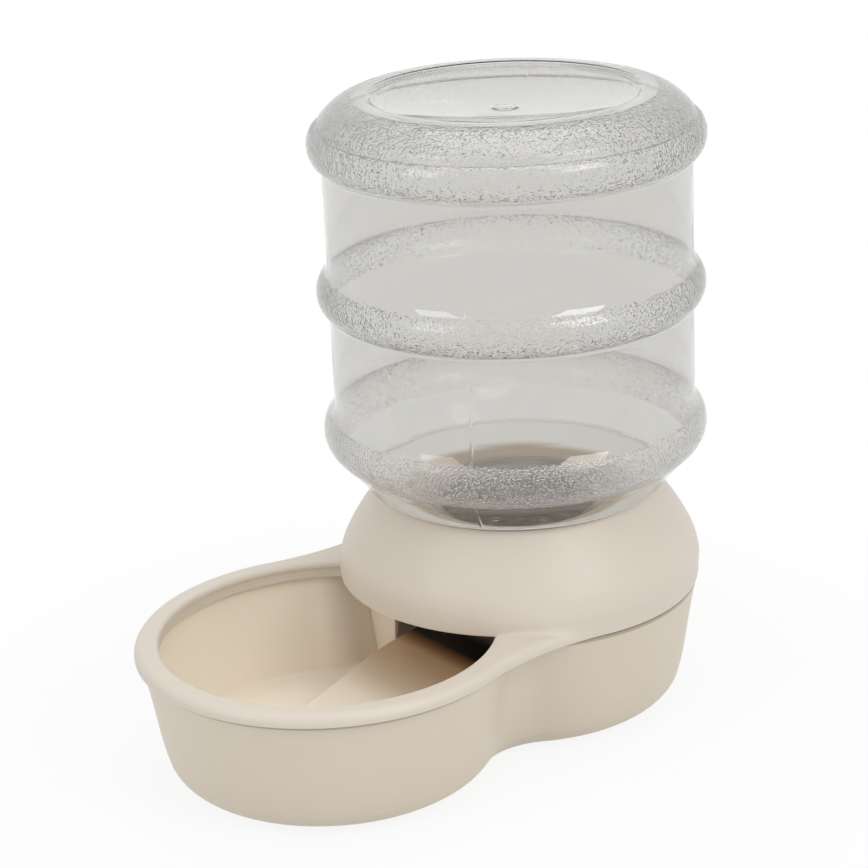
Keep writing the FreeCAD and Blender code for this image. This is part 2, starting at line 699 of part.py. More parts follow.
def make_top_frame():
    body = new_body("top_frame")
    plate = new_sketch(body, "plate", "XY_Plane", frame_low)
    draw(plate, figure_eight(*rim_sizes, rim_waist, ZERO))
    add_circle(plate, bowl_centre, opening_radius)
    slab = pad(body, plate, size("rim_height") - frame_low)
    doc.recompute()
    top = size("rim_height").number
    outer = fillet(body, slab, level_edges(slab, top, lambda edge: not around_opening(edge)),
                   size("rim_outer_curve"))
    fillet(body, outer, level_edges(outer, top, around_opening), size("rim_inner_curve"))

    tongue_room = size("tub_wall") - size("tongue_wall") - size("tongue_gap")
    recess = outline_sketch(body, "tongue_recess", "XY_Plane", tub_outline(tongue_room), frame_low)
    pocket(body, recess, tongue_top - frame_low, upwards=True)

    skirt_low = size("rim_height") - size("skirt_drop")
    skirt = circle_sketch(body, "skirt", skirt_low, bowl_centre,
                          opening_radius, opening_radius + size("skirt_wall"))
    pad(body, skirt, tongue_top - skirt_low + size("skirt_wall") / 2)

    lip = size("dome_lip_height")
    inner_lip = dome_side_radius(lip, size("dome_wall"))
    chamber = circle_sketch(body, "chamber_opening", skirt_low, (ZERO, ZERO), inner_lip)
    pocket(body, chamber, size("rim_height") - skirt_low, upwards=True)

    revolve(body, outline_sketch(body, "dome", "XZ_Plane", dome_path(lip, inner_lip)))
    band_inner = rim_rear_radius - size("dome_band_root")
    band = [
        ((band_inner, frame_low), None),
        ((dome_side_radius(frame_low, ZERO), frame_low), (size("dome_side_curve"), 1, False)),
        ((dome_side_radius(lip, ZERO), lip), None),
        ((band_inner, lip), None),
    ]
    revolve(body, outline_sketch(body, "dome_band", "YZ_Plane", band), size("dome_band_sweep"))
    add_snap_tabs(body)
    return body


def dome_path(lip, inner_lip):
    """Section of the dome: two arcs, a rounded crest, and a seat that dips to the hole."""
    wall = size("dome_wall")
    turn, end = unit(size("dome_turn")), unit(size("dome_end"))
    slope = unit(size("shoulder_slope") + 90)
    side, top = size("dome_side_curve"), size("dome_top_curve")
    side_centre = (dome_radius - side, size("dome_height"))
    top_centre = shifted(side_centre, turn, side - top)
    crest = size("dome_crest_curve")
    crest_centre = shifted(top_centre, end, top - crest)
    crest_end = shifted(crest_centre, slope, crest)
    hole = cap_outer + size("grip_radius") + size("dome_hole_gap")
    seat_drop = (crest_end[0] - hole) * tangent(size("shoulder_slope"))
    seat_low = place("seat_low", crest_end[1] - seat_drop, "height of the dome's seat at the hole")
    collar = hole + wall
    half_turn = (size("dome_end") + size("shoulder_slope") + 90) / 2
    corner = shifted(crest_centre, unit(half_turn), -(wall - crest) / cosine(half_turn - size("dome_end")))
    under = corner[1] - (corner[0] - collar) * tangent(size("shoulder_slope"))
    return [
        ((dome_side_radius(lip, ZERO), lip), (side, 1, False)),
        (shifted(side_centre, turn, side), (top, 1, False)),
        (shifted(top_centre, end, top), (crest, 1, False)),
        (crest_end, None),
        ((hole, seat_low), None),
        ((hole, seat_low - size("dome_collar_length")), None),
        ((collar, seat_low - size("dome_collar_length")), None),
        ((collar, under), None),
        (corner, (top - wall, -1, False)),
        (shifted(side_centre, turn, side - wall), (side - wall, -1, False)),
        ((inner_lip, lip), None),
    ]


def add_snap_tabs(body):
    """Small tabs behind the skirt that snap against the tub's wall."""
    inner = opening_radius + size("skirt_wall") / 2
    outer = tub_bowl_radius - size("tub_wall") - size("tongue_gap")
    half = size("tab_width") / 2
    sketch = new_sketch(body, "snap_tab", "XY_Plane")
    start = FreeCAD.Rotation(FreeCAD.Vector(0, 0, 1), -size("tab_sweep").number / 2)
    sketch.AttachmentOffset = FreeCAD.Placement(FreeCAD.Vector(0, 0, 0), start)
    sketch.setExpression("AttachmentOffset.Base.y", bowl_centre[1].text)
    sketch.setExpression("AttachmentOffset.Base.z", (tongue_top - size("tab_height")).text)
    draw(sketch, rectangle(-half, half, -outer, -inner))
    tab = pad(body, sketch, size("tab_height"))
    pattern = body.newObject("PartDesign::PolarPattern", "snap_tab_ring")
    pattern.Originals = [tab]
    pattern.Axis = (sketch, ["N_Axis"])
    pattern.setExpression("Angle", size("tab_sweep").text)
    pattern.setExpression("Occurrences", size("tab_count").text)
    body.Tip = pattern


# Bottle

def bead_join(bead_centre, bead_curve, blend, below):
    """Centre of the blend between a bead and the wall, and the direction to it."""
    across = size("bottle_radius") + blend - bead_centre[0]
    reach = bead_curve + blend
    rise = root(reach * reach - across * across)
    if below:
        rise = -rise
    direction = (across / reach, rise / reach)
    return (size("bottle_radius") + blend, bead_centre[1] + rise), direction


def crossing(first, first_reach, second, second_reach):
    """The point at given reaches along two directions."""
    spread = first[0] * second[1] - first[1] * second[0]
    return ((first_reach * second[1] - first[1] * second_reach) / spread,
            (first[0] * second_reach - first_reach * second[0]) / spread)


def reach_of(point, direction):
    return point[0] * direction[0] + point[1] * direction[1]


def bead_centre(name):
    outstand = size(name + "_bead_outstand")
    return size("bottle_radius") + outstand - size(name + "_bead_curve"), size(name + "_bead_height")


def bottle_corners(inset):
    """Section of the bottle's surface from the closed end to the mouth, drawn in by the inset."""
    crisp, soft, wide = size("crisp_blend"), size("soft_blend"), size("wide_blend")
    wall = size("bottle_radius") - inset
    top, middle, lower = bead_centre("top"), bead_centre("middle"), bead_centre("lower")
    top_curve, middle_curve, lower_curve = (size(name + "_bead_curve") for name in ("top", "middle", "lower"))

    foot, edge = size("recess_foot_curve"), size("recess_curve")
    meet = unit(size("recess_angle"))
    slope = unit(size("crown_slope"))
    crown = size("crown_curve")
    crown_x = crown_radius
    crown_z = (reach_of(top, slope) + top_curve - crown - crown_x * slope[0]) / slope[1]
    edge_centre = (crown_radius - size("crown_ring_width"), crown_z + crown - edge)
    foot_centre = shifted(edge_centre, meet, edge + foot)

    top_low, top_low_way = bead_join(top, top_curve, crisp, True)
    middle_high, middle_high_way = bead_join(middle, middle_curve, soft, False)
    middle_low, middle_low_way = bead_join(middle, middle_curve, crisp, True)
    lower_high, lower_high_way = bead_join(lower, lower_curve, wide, False)

    taper = unit(-size("taper_slope"))
    throat = unit(size("throat_slope") - 90)
    shoulder = unit(size("shoulder_slope") - 90)
    corner_centre = (corner_radius, size("corner_height"))
    corner = size("corner_curve")
    blend = size("throat_blend")
    blend_centre = crossing(taper, reach_of(lower, taper) + lower_curve + blend,
                            throat, reach_of(corner_centre, throat) + corner + blend)
    neck_blend = size("neck_blend")
    neck_x = size("neck_radius") + neck_blend
    neck_z = (reach_of(corner_centre, shoulder) + corner + neck_blend - neck_x * shoulder[0]) / shoulder[1]
    neck_centre = (neck_x, neck_z)

    def bulge(centre, way, curve):
        return shifted(centre, way, curve - inset)

    def hollow(centre, way, curve):
        return shifted(centre, way, -(curve + inset))

    return [
        ((ZERO, foot_centre[1] - foot - inset), None),
        ((foot_centre[0], foot_centre[1] - foot - inset), (foot + inset, 1, False)),
        (bulge(edge_centre, meet, edge), (edge - inset, -1, False)),
        ((edge_centre[0], edge_centre[1] + edge - inset), None),
        ((crown_x, crown_z + crown - inset), (crown - inset, -1, False)),
        (bulge((crown_x, crown_z), slope, crown), None),
        (bulge(top, slope, top_curve), (top_curve - inset, -1, False)),
        (bulge(top, top_low_way, top_curve), (crisp + inset, 1, False)),
        ((wall, top_low[1]), None),
        ((wall, middle_high[1]), (soft + inset, 1, False)),
        (bulge(middle, middle_high_way, middle_curve), (middle_curve - inset, -1, False)),
        (bulge(middle, middle_low_way, middle_curve), (crisp + inset, 1, False)),
        ((wall, middle_low[1]), None),
        ((wall, lower_high[1]), (wide + inset, 1, False)),
        (bulge(lower, lower_high_way, lower_curve), (lower_curve - inset, -1, False)),
        (bulge(lower, taper, lower_curve), None),
        (hollow(blend_centre, taper, blend), (blend + inset, 1, False)),
        (hollow(blend_centre, throat, blend), None),
        (bulge(corner_centre, throat, corner), (corner - inset, -1, False)),
        (bulge(corner_centre, shoulder, corner), None),
        (hollow(neck_centre, shoulder, neck_blend), (neck_blend + inset, 1, False)),
        ((size("neck_radius") - inset, neck_z), None),
        ((size("neck_radius") - inset, size("mouth_height")), None),
    ]


def backwards(corners):
    """The same corners in the opposite order, with each edge's turn reversed."""
    points = [point for point, edge in corners][::-1]
    edges = [edge for point, edge in corners][:-1][::-1] + [None]
    turned = [edge and (edge[0], -edge[1], edge[2]) for edge in edges]
    return list(zip(points, turned))


def make_bottle():
    body = new_body("water_bottle")
    path = bottle_corners(ZERO) + backwards(bottle_corners(size("bottle_wall")))
    revolve(body, outline_sketch(body, "bottle_wall", "XZ_Plane", path))
    start = size("mouth_height") + size("thread_start")
    body.Tip = thread(body, "neck_thread", size("neck_radius"), amount(1), start, size("thread_length"))
    return body


def thread(body, name, wall, outward, start, length):
    """A helical ridge on a wall; outward is 1 outside a neck and -1 inside a cap."""
    foot = wall - outward * size("thread_root_depth")
    crest = wall + outward * size("thread_depth")
    root_half, crest_half = size("thread_root") / 2, size("thread_crest") / 2
    path = [
        ((foot, start - root_half), None),
        ((crest, start - crest_half), None),
        ((crest, start + crest_half), None),
        ((foot, start + root_half), None),
    ]
    return helix(body, outline_sketch(body, name, "XZ_Plane", path), size("thread_pitch"), length)


# Cap, gasket and valve

def make_bottle_cap():
    body = new_body("bottle_cap")
    bore = size("stem_radius") + size("stem_gap")
    top = cap_low + size("cap_height")
    edge = size("cap_edge")
    path = [
        ((bore, guide_low), None),
        ((size("guide_radius"), guide_low), None),
        ((size("guide_radius"), cap_low), None),
        ((cap_outer - edge, cap_low), (edge, 1, False)),
        ((cap_outer, cap_low + edge), None),
        ((cap_outer, top), None),
        ((cap_inner, top), None),
        ((cap_inner, cap_top_face), None),
        ((bore, cap_top_face), None),
    ]
    revolve(body, outline_sketch(body, "cap_section", "XZ_Plane", path))

    between = (size("guide_radius") + size("port_radius")) / 2
    half = place("port_half_angle", amount(180) / size("spoke_count")
                 - size("spoke_width") / between * (90 / math.pi),
                 "half the sweep of one water port, degrees")
    inner, outer = size("guide_radius"), size("port_radius")
    side = unit(half)
    port = [
        ((inner * side[0], -(inner * side[1])), None),
        ((outer * side[0], -(outer * side[1])), (outer, 1, False)),
        ((outer * side[0], outer * side[1]), None),
        ((inner * side[0], inner * side[1]), (inner, -1, False)),
    ]
    opening = outline_sketch(body, "water_port", "XY_Plane", port, cap_top_face)
    cut = pocket(body, opening, size("guide_length"))
    ring_pattern(body, [cut], size("spoke_count"))

    step = amount(360) / size("grip_count")
    way = unit(step / 2)
    rib_low = cap_low + size("grip_inset")
    on_wall = (cap_outer * way[0], cap_outer * way[1])
    rib = circle_sketch(body, "grip_rib", rib_low, on_wall, size("grip_radius"))
    ridge = pad(body, rib, size("cap_height") - size("grip_inset") * 2)
    ring_pattern(body, [ridge], size("grip_count"))

    start = size("mouth_height") + size("thread_start") + size("thread_pitch") / 2
    length = size("thread_length") - size("thread_root")
    body.Tip = thread(body, "cap_thread", cap_inner, amount(-1), start, length)
    return body


def make_ring(label, inner, outer, low, high):
    """A plain ring about the bottle's axis."""
    body = new_body(label)
    revolve(body, outline_sketch(body, label + "_section", "XZ_Plane", rectangle(inner, outer, low, high)))
    return body


def make_gasket():
    outer = cap_inner - size("thread_depth") - size("gasket_gap")
    return make_ring("cap_gasket", outer - size("gasket_width"), outer,
                     gasket_low, gasket_low + size("gasket_thickness"))


def make_valve_stem():
    body = new_body("valve_stem")
    low = retainer_low + size("retainer_floor")
    under_head = seal_low + size("seal_thickness")
    path = [
        ((ZERO, low), None),
        ((size("stem_radius"), low), None),
        ((size("stem_radius"), under_head), None),
        ((size("valve_radius"), under_head), None),
        ((size("valve_radius"), under_head + size("valve_thickness")), None),
        ((ZERO, under_head + size("valve_thickness")), None),
    ]
    revolve(body, outline_sketch(body, "stem_section", "XZ_Plane", path))
    return body


def make_valve_seal():
    outer = size("seal_radius")
    return make_ring("valve_seal", outer - size("seal_width"), outer,
                     seal_low, seal_low + size("seal_thickness"))


def make_valve_retainer():
    """A cup-shaped clip on the stem's lower end."""
    body = new_body("valve_retainer")
    bore = size("stem_radius") + size("stem_gap")
    path = [
        ((ZERO, retainer_low), None),
        ((size("retainer_radius"), retainer_low), None),
        ((size("retainer_radius"), retainer_top), None),
        ((bore, retainer_top), None),
        ((bore, retainer_low + size("retainer_floor")), None),
        ((ZERO, retainer_low + size("retainer_floor")), None),
    ]
    revolve(body, outline_sketch(body, "retainer_section", "XZ_Plane", path))
    return body


def make_valve_spring():
    """A coil between guide and clip that closes the valve."""
    body = new_body("valve_spring")
    wire = size("spring_wire")
    gap = size("spring_seat_gap")
    rise = size("spring_length") - gap * 2 - wire
    section = new_sketch(body, "spring_wire", "XZ_Plane")
    add_circle(section, (size("spring_radius"), retainer_top + gap + wire / 2), wire / 2)
    pitch = rise / size("spring_turns")
    helix(body, section, pitch, rise)
    print(f"least gap between the spring's coils: {pitch.number - wire.number:.2f} mm")
    return body


# Feet

FOOT_PLACES = {
    "front_left_foot": (-size("foot_side"), -front_foot),
    "front_right_foot": (size("foot_side"), -front_foot),
    "rear_left_foot": (-size("foot_side"), rear_foot),
    "rear_right_foot": (size("foot_side"), rear_foot),
}


def make_foot(label, centre):
    body = new_body(label)
    disc = circle_sketch(body, label + "_disc", None, centre, size("foot_radius"))
    block = pad(body, disc, size("foot_height") + size("foot_recess"))
    doc.recompute()
    fillet(body, block, level_edges(block, 0), size("foot_edge"))
    return body


# Build, check and write every node

NODES = [make_base_tub(), make_top_frame(), make_bottle(), make_bottle_cap(), make_gasket()]
NODES += [make_valve_stem(), make_valve_seal(), make_valve_spring(), make_valve_retainer()]
NODES += [make_foot(label, centre) for label, centre in FOOT_PLACES.items()]
doc.recompute()

failed = [item.Name for item in doc.Objects if "Invalid" in item.State or "Error" in item.State]
for node in NODES:
    shape = node.Shape
    if shape.isNull() or not shape.isValid() or not shape.Solids:
        failed.append(node.Label)
if failed:
    raise RuntimeError("these objects failed: " + ", ".join(failed))

os.makedirs("parts", exist_ok=True)
for node in NODES:
    node.Shape.exportStep(f"parts/{node.Label}.step")
    print(f"{node.Label}: {len(node.Shape.Solids)} solid, {node.Shape.Volume / 1000:.2f} cm3")
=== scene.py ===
"""The looks of an automatic pet waterer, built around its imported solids.

A clear ribbed bottle stands upside down in a domed holder, over a moulded tub with an
open bowl.  Lengths are metres; sizes are stated in millimetres where that reads better.
The bowl points to -Y, +Z is up and the floor is z = 0.
"""

import math

import bmesh
import bpy
import numpy as np
from mathutils import Matrix, Vector


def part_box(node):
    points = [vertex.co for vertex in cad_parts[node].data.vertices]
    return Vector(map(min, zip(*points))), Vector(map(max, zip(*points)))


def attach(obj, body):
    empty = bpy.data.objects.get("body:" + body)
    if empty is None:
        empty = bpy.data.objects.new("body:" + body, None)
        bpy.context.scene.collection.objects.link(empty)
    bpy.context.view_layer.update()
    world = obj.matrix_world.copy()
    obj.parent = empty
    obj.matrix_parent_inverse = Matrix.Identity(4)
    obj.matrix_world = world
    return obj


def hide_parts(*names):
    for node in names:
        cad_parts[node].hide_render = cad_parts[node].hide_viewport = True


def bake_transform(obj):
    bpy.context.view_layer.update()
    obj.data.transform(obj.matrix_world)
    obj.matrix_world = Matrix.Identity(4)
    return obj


bl_info = {
    "name": "Automatic Pet Waterer",
    "version": (1, 0, 0),
    "blender": (4, 5, 0),
    "location": "View3D > Sidebar > Waterer",
    "description": "Builds the bottle, base, valve and studio of an automatic pet waterer",
    "category": "Add Mesh",
}

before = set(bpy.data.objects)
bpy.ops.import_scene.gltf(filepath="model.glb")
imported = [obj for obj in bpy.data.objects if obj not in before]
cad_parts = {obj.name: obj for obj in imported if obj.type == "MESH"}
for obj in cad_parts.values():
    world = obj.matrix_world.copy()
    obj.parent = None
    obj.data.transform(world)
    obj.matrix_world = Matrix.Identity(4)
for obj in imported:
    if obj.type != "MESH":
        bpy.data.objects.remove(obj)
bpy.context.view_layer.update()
MM = 0.001
STEM_LOW, STEM_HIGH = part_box("valve_stem")
AXIS_Y = (STEM_LOW.y + STEM_HIGH.y) / 2
FEET = ("front_left_foot", "front_right_foot", "rear_left_foot", "rear_right_foot")

# how far each pebbled band reaches below and above the widest ring of its bead
TOP_BAND = (7.5 * MM, 30 * MM)
MIDDLE_BAND = (8.5 * MM, 8.5 * MM)
LOWER_BAND = (12.2 * MM, 8 * MM)
CROWN_CLEAR = 2.5 * MM  # from where the end turns level to its first pebbles

# how far the ends of the bottle's matt shoulder lie below the corner's centre
SHOULDER_BAND = (12 * MM, 1.5 * MM)
SHOULDER_SOFT = 1.5 * MM  # reach over which the shoulder's finish fades out
SHOULDER_START = 2 * MM  # from the neck's wall to the shoulder's finish
PARTING_FADE = (4 * MM, 8 * MM)  # from the neck's wall to where the parting lines start and are full

# shares of the way into the ramp's painted shade, and the tone there
RAMP_SHADE_TONES = ((0.0, (1, 1, 1)), (0.25, (0.94, 0.93, 0.92)), (0.45, (0.78, 0.69, 0.59)),
              (0.83, (0.74, 0.53, 0.34)), (0.92, (0.36, 0.19, 0.08)), (1.0, (0.012, 0.009, 0.008)))
SHADE_FADE = (30 * MM, 8 * MM)  # distances from the bottle's axis between which that painted shade fades out
SEAM_SHADE_DEPTHS = (2.2 * MM, 1.0 * MM)  # depths under the seam between which its painted shade, the rim's shadow, sets in

# points on the outline of the base: the arc behind, each hollow and the bowl's arc
REAR_POINTS, WAIST_POINTS, BOWL_POINTS = 130, 64, 170
DOME_TURNS = 320  # points around the dome
GLOSS_DRIFT = 0.12  # how far the roughness of moulded plastic drifts
GRAIN_SLOPE = (0.05, 0.55)  # from a grain's middle, in cells: where its slope starts and ends

# gaps, edges and steps of the base
TONGUE_PLAY = 0.1 * MM  # between the tub's tongue and the frame above it
FOOT_PLAY = 0.1 * MM  # between a foot and the wall of its recess
DOOR_GAP = 0.4 * MM  # between the doorway walls and the skirt above them
DOOR_EDGE = 0.4 * MM  # rounding of the doorway walls' edges
RIM_KEPT = (0.6 * MM, 5 * MM)  # from the bowl's opening to where the blend starts and is full
BLEND_ROUNDS = 60  # times that the crease between dome and rim is smoothed
BLEND_STEP = 0.7  # share of the way to its neighbours' mean that a point moves each time

# name, distance towards the camera, to its right and up, width and length, in metres
SOFTBOXES = (("key", 0.75, 0.75, 0.95, 0.55, 0.7), ("fill", 0.75, -0.85, 0.80, 0.5, 0.7),
             ("top", -0.1, 0.0, 1.25, 0.9, 0.9))


# Properties

def length(label, millimetres, meaning):
    """A length, stated in millimetres and kept in metres."""
    return bpy.props.FloatProperty(name=label, description=meaning, default=millimetres * MM,
                                   unit="LENGTH", precision=5)


def angle(label, degrees, meaning):
    """An angle, stated in degrees and kept in radians."""
    return bpy.props.FloatProperty(name=label, description=meaning, default=math.radians(degrees),
                                   subtype="ANGLE")


def colour(label, value, meaning):
    """A colour, as red, green and blue."""
    return bpy.props.FloatVectorProperty(name=label, description=meaning, default=value,
                                         subtype="COLOR", size=3, min=0, max=1)


def share(label, value, meaning):
    """A share between nought and one."""
    return bpy.props.FloatProperty(name=label, description=meaning, default=value, subtype="FACTOR",
                                   min=0, max=1)


class BottleSizes(bpy.types.PropertyGroup):
    """Sizes of the blown bottle, seen upside down as it stands."""
    radius: length("Radius", 80, "Outer radius of the plain walls")
    wall: length("Wall", 1.0, "Thickness of the blown wall")
    top_stand: length("Top Bead", 6.0, "How far the top bead stands out")
    top_height: length("Top Bead Height", 260.7, "Height of the top bead's widest ring")
    top_curve: length("Top Bead Curve", 12, "Radius of the top bead's section")
    middle_stand: length("Middle Bead", 5.3, "How far the middle bead stands out")
    middle_height: length("Middle Bead Height", 195, "Height of the middle bead's widest ring")
    middle_curve: length("Middle Bead Curve", 11, "Radius of the middle bead's section")
    lower_stand: length("Lower Bead", 5.3, "How far the lower bead stands out")
    lower_height: length("Lower Bead Height", 131.2, "Height of the lower bead's widest ring")
    lower_curve: length("Lower Bead Curve", 13, "Radius of the lower bead's section")
    crown_curve: length("Crown Curve", 20.5, "Rounding of the closed end's shoulder")
    crown_inset: length("Crown Inset", 17, "From the wall to where the end turns level")
    crown_ring: length("Crown Ring", 3, "Width of the level ring around the recess")
    dish: length("Dish", 5.6, "How far the recess's middle lies below its edge")
    crease_depth: length("Crease Depth", 1.8, "Depth of the soft crease above the top bead")
    crease_width: length("Crease Width", 1.7, "Half width of that crease")
    recess_curve: length("Recess Edge", 3, "Rounding at the recess's edge")
    recess_foot: length("Recess Foot", 2, "Rounding where the recess meets its disc")
    crisp_blend: length("Crisp Blend", 2.2, "Tight blend from wall to bead")
    soft_blend: length("Soft Blend", 8, "Easy blend above the middle bead")
    wide_blend: length("Wide Blend", 14, "Wide blend above the lower bead")
    throat_blend: length("Throat Blend", 6, "Blend between the two cones above the shoulder")
    corner_inset: length("Corner Inset", 16, "From the wall to the centre of the shoulder's rounding")
    corner_height: length("Corner Height", 107.9, "Height of that centre")
    corner_curve: length("Corner Curve", 4, "Radius of that rounding")
    neck_radius: length("Neck", 34, "Outer radius of the neck")
    neck_blend: length("Neck Blend", 5, "Blend between shoulder and neck")
    mouth: length("Mouth Height", 57.2, "Height of the mouth's rim")
    thread_pitch: length("Thread Pitch", 6, "Rise of the thread in one turn")
    thread_depth: length("Thread Depth", 2, "Height of the thread's ridge")
    thread_start: length("Thread Start", 3.5, "From the mouth's rim to the first ridge")
    thread_rise: length("Thread Rise", 12, "Rise of the ridge from end to end")
    thread_crest: length("Thread Crest", 0.6, "Half width of the ridge's crest")
    thread_foot: length("Thread Foot", 1.4, "Half width of the ridge's foot")
    parting_width: length("Parting Line Width", 0.45, "Half width of the mould's parting line")
    parting_height: length("Parting Line Height", 0.16, "How far the parting line stands out")
    gate_radius: length("Gate Ring", 4.0, "Radius of the small ring the mould's gate leaves")
    gate_height: length("Gate Height", 0.25, "Height of that ring")
    crown_slope: angle("Crown Slope", 45, "Slope of the cone between crown and top bead")
    recess_angle: angle("Recess Angle", 142, "Where the recess's two roundings meet")
    taper_slope: angle("Taper Slope", 45, "Slope of the cone under the lower bead")
    throat_slope: angle("Throat Slope", 53, "Slope of the steeper cone below it")
    shoulder_slope: angle("Shoulder Slope", 20, "Slope of the shoulder the bottle stands on")
    parting_turn: angle("Parting Line Turn", -53, "Where the parting line lies around the bottle")


class BaseSizes(bpy.types.PropertyGroup):
    """Sizes of the two mouldings of the base."""
    span: length("Bowl Distance", 108.8, "From the bottle's axis to the bowl's centre")
    rim_bowl: length("Rim Radius", 83.6, "Outer radius of the rim around the bowl")
    rim_rear: length("Rear Rim Radius", 81.0, "Outer radius of the rim behind the bottle")
    rim_waist: length("Rim Waist", 125, "Radius of the rim's hollow at the waist")
    opening: length("Bowl Opening", 73.8, "Radius of the bowl's opening")
    tub_bowl: length("Tub Radius", 81.0, "Outer radius of the tub around the bowl")
    tub_rear: length("Rear Tub Radius", 80.6, "Outer radius of the tub behind the bottle")
    tub_waist: length("Tub Waist", 20, "Radius of the tub's hollow at the waist")
    foot: length("Foot Height", 1.2, "How far the feet stand out of the tub")
    floor: length("Tub Floor", 3, "Thickness of the tub's floor")
    underside: length("Underside Depth", 4.8, "Depth of the recess under the tub's floor")
    underside_ring: length("Underside Ring", 3, "Width of the level ring around that recess")
    boss_wall: length("Foot Boss Wall", 2, "Wall around the recess that holds a foot")
    wall: length("Tub Wall", 3, "Thickness of the tub's wall")
    bottom_curve: length("Bottom Curve", 12, "Rounding around the tub's bottom")
    inner_curve: length("Floor Curve", 2.5, "Rounding around the bowl's floor")
    seam: length("Seam Height", 56.6, "Top of the tub's wall")
    seam_gap: length("Seam Gap", 0.5, "Gap that shows at the seam")
    seam_edge: length("Seam Edge", 0.35, "Rounding of the edges at the seam")
    tongue: length("Tongue", 3, "How far the tub's tongue rises above the seam")
    tongue_wall: length("Tongue Wall", 1.4, "Thickness of that tongue")
    tongue_gap: length("Tongue Gap", 0.2, "Gap around the tongue")
    rim_top: length("Rim Height", 62.4, "Top of the rim")
    rim_outer: length("Rim Outer Curve", 4.2, "Rounding of the rim's outer edge")
    rim_inner: length("Rim Inner Curve", 2.0, "Rounding of the rim's inner edge")
    rim_step: length("Rim Step", 0.9, "How far the rim stands over the skirt")
    rim_lip: length("Rim Lip", 2.6, "From the rim's top to the step under it")
    skirt_wall: length("Skirt Wall", 2.2, "Thickness of the skirt inside the rim")
    skirt_drop: length("Skirt Drop", 8, "How far the skirt hangs below the rim's top")
    dome: length("Dome Radius", 81.8, "Widest radius of the dome")
    dome_height: length("Dome Height", 64.2, "Height of the dome's widest ring")
    dome_side: length("Dome Side Curve", 32, "Radius of the dome's lower section")
    dome_top: length("Dome Top Curve", 115, "Radius of the dome's upper section")
    dome_wall: length("Dome Wall", 2.4, "Thickness of the dome")
    crest: length("Crest", 1.2, "Rounding of the dome's crest")
    lip: length("Lip Height", 61.4, "Height of the lip that hangs over the bowl")
    lip_edge: length("Lip Edge", 0.7, "Rounding of that lip")
    hole: length("Dome Hole", 42.2, "Radius of the hole for the bottle's cap")
    collar: length("Collar", 8, "Length of the collar under the hole")
    crease: length("Crease", 4.5, "Reach of the soft blend between dome and rim")
    crease_core: length("Crease Core", 1.575, "Reach in which that blend works in full")
    door_distance: length("Doorway Distance", 42, "From the bottle's axis to the doorway wall")
    door_wall: length("Doorway Wall", 2.5, "Thickness of the doorway wall")
    door_half: length("Doorway Half Width", 40, "Half the width of the doorway")
    ramp_half: length("Ramp Half Width", 33, "Half the width of the ramp")
    ramp_toe: length("Ramp Toe", 105, "From the bottle's axis to the ramp's toe")
    ramp_knee: length("Ramp Knee", 60, "From the bottle's axis to the ramp's knee")
    ramp_knee_top: length("Ramp Knee Height", 24.9, "Height of the ramp at its knee")
    ramp_end: length("Ramp End", 16, "From the bottle's axis to the ramp's end")
    ramp_end_top: length("Ramp End Height", 32.7, "Height of the ramp at its end")
    ramp_wall: length("Ramp Wall", 2.5, "Thickness of the ramp's skin")
    ramp_edge: length("Ramp Edge", 0.8, "Rounding of the ramp's long edges")
    ramp_bend: length("Ramp Bend", 9, "From the ramp's knee to where its rounding starts")
    cell_start: length("Ramp Cell Start", 8, "From the ramp's toe to the hollows under it")
    cell: length("Ramp Cell", 19, "Width of one hollow under the ramp")
    post: length("Post", 5, "Radius of the post that opens the valve")
    fin: length("Post Fins", 9, "Reach of the post's fins at its foot")
    fin_half: length("Fin Half Thickness", 1, "Half the thickness of a fin")
    fin_drop: length("Fin Drop", 9, "From the post's top to the fins' top")
    foot_recess: length("Foot Recess", 1.2, "Depth of the recess that holds a foot")
    belly: length("Belly", 1.5, "How far the tub's wall swells out low down")
    draft: angle("Draft", 12, "Lean of the tub's walls")
    dome_turn: angle("Dome Turn", 27, "Where the dome's two sections meet")
    dome_end: angle("Dome End", 41, "Where the dome's upper section ends")
    seat: angle("Seat Slope", 20, "Slope of the dome's seat")
    band_turn: angle("Band Half Sweep", 118, "Half the sweep of the dome's band behind the waist")
    band_switch: angle("Band Switch", 6, "Sweep in which the dome's lower edge drops to the seam")


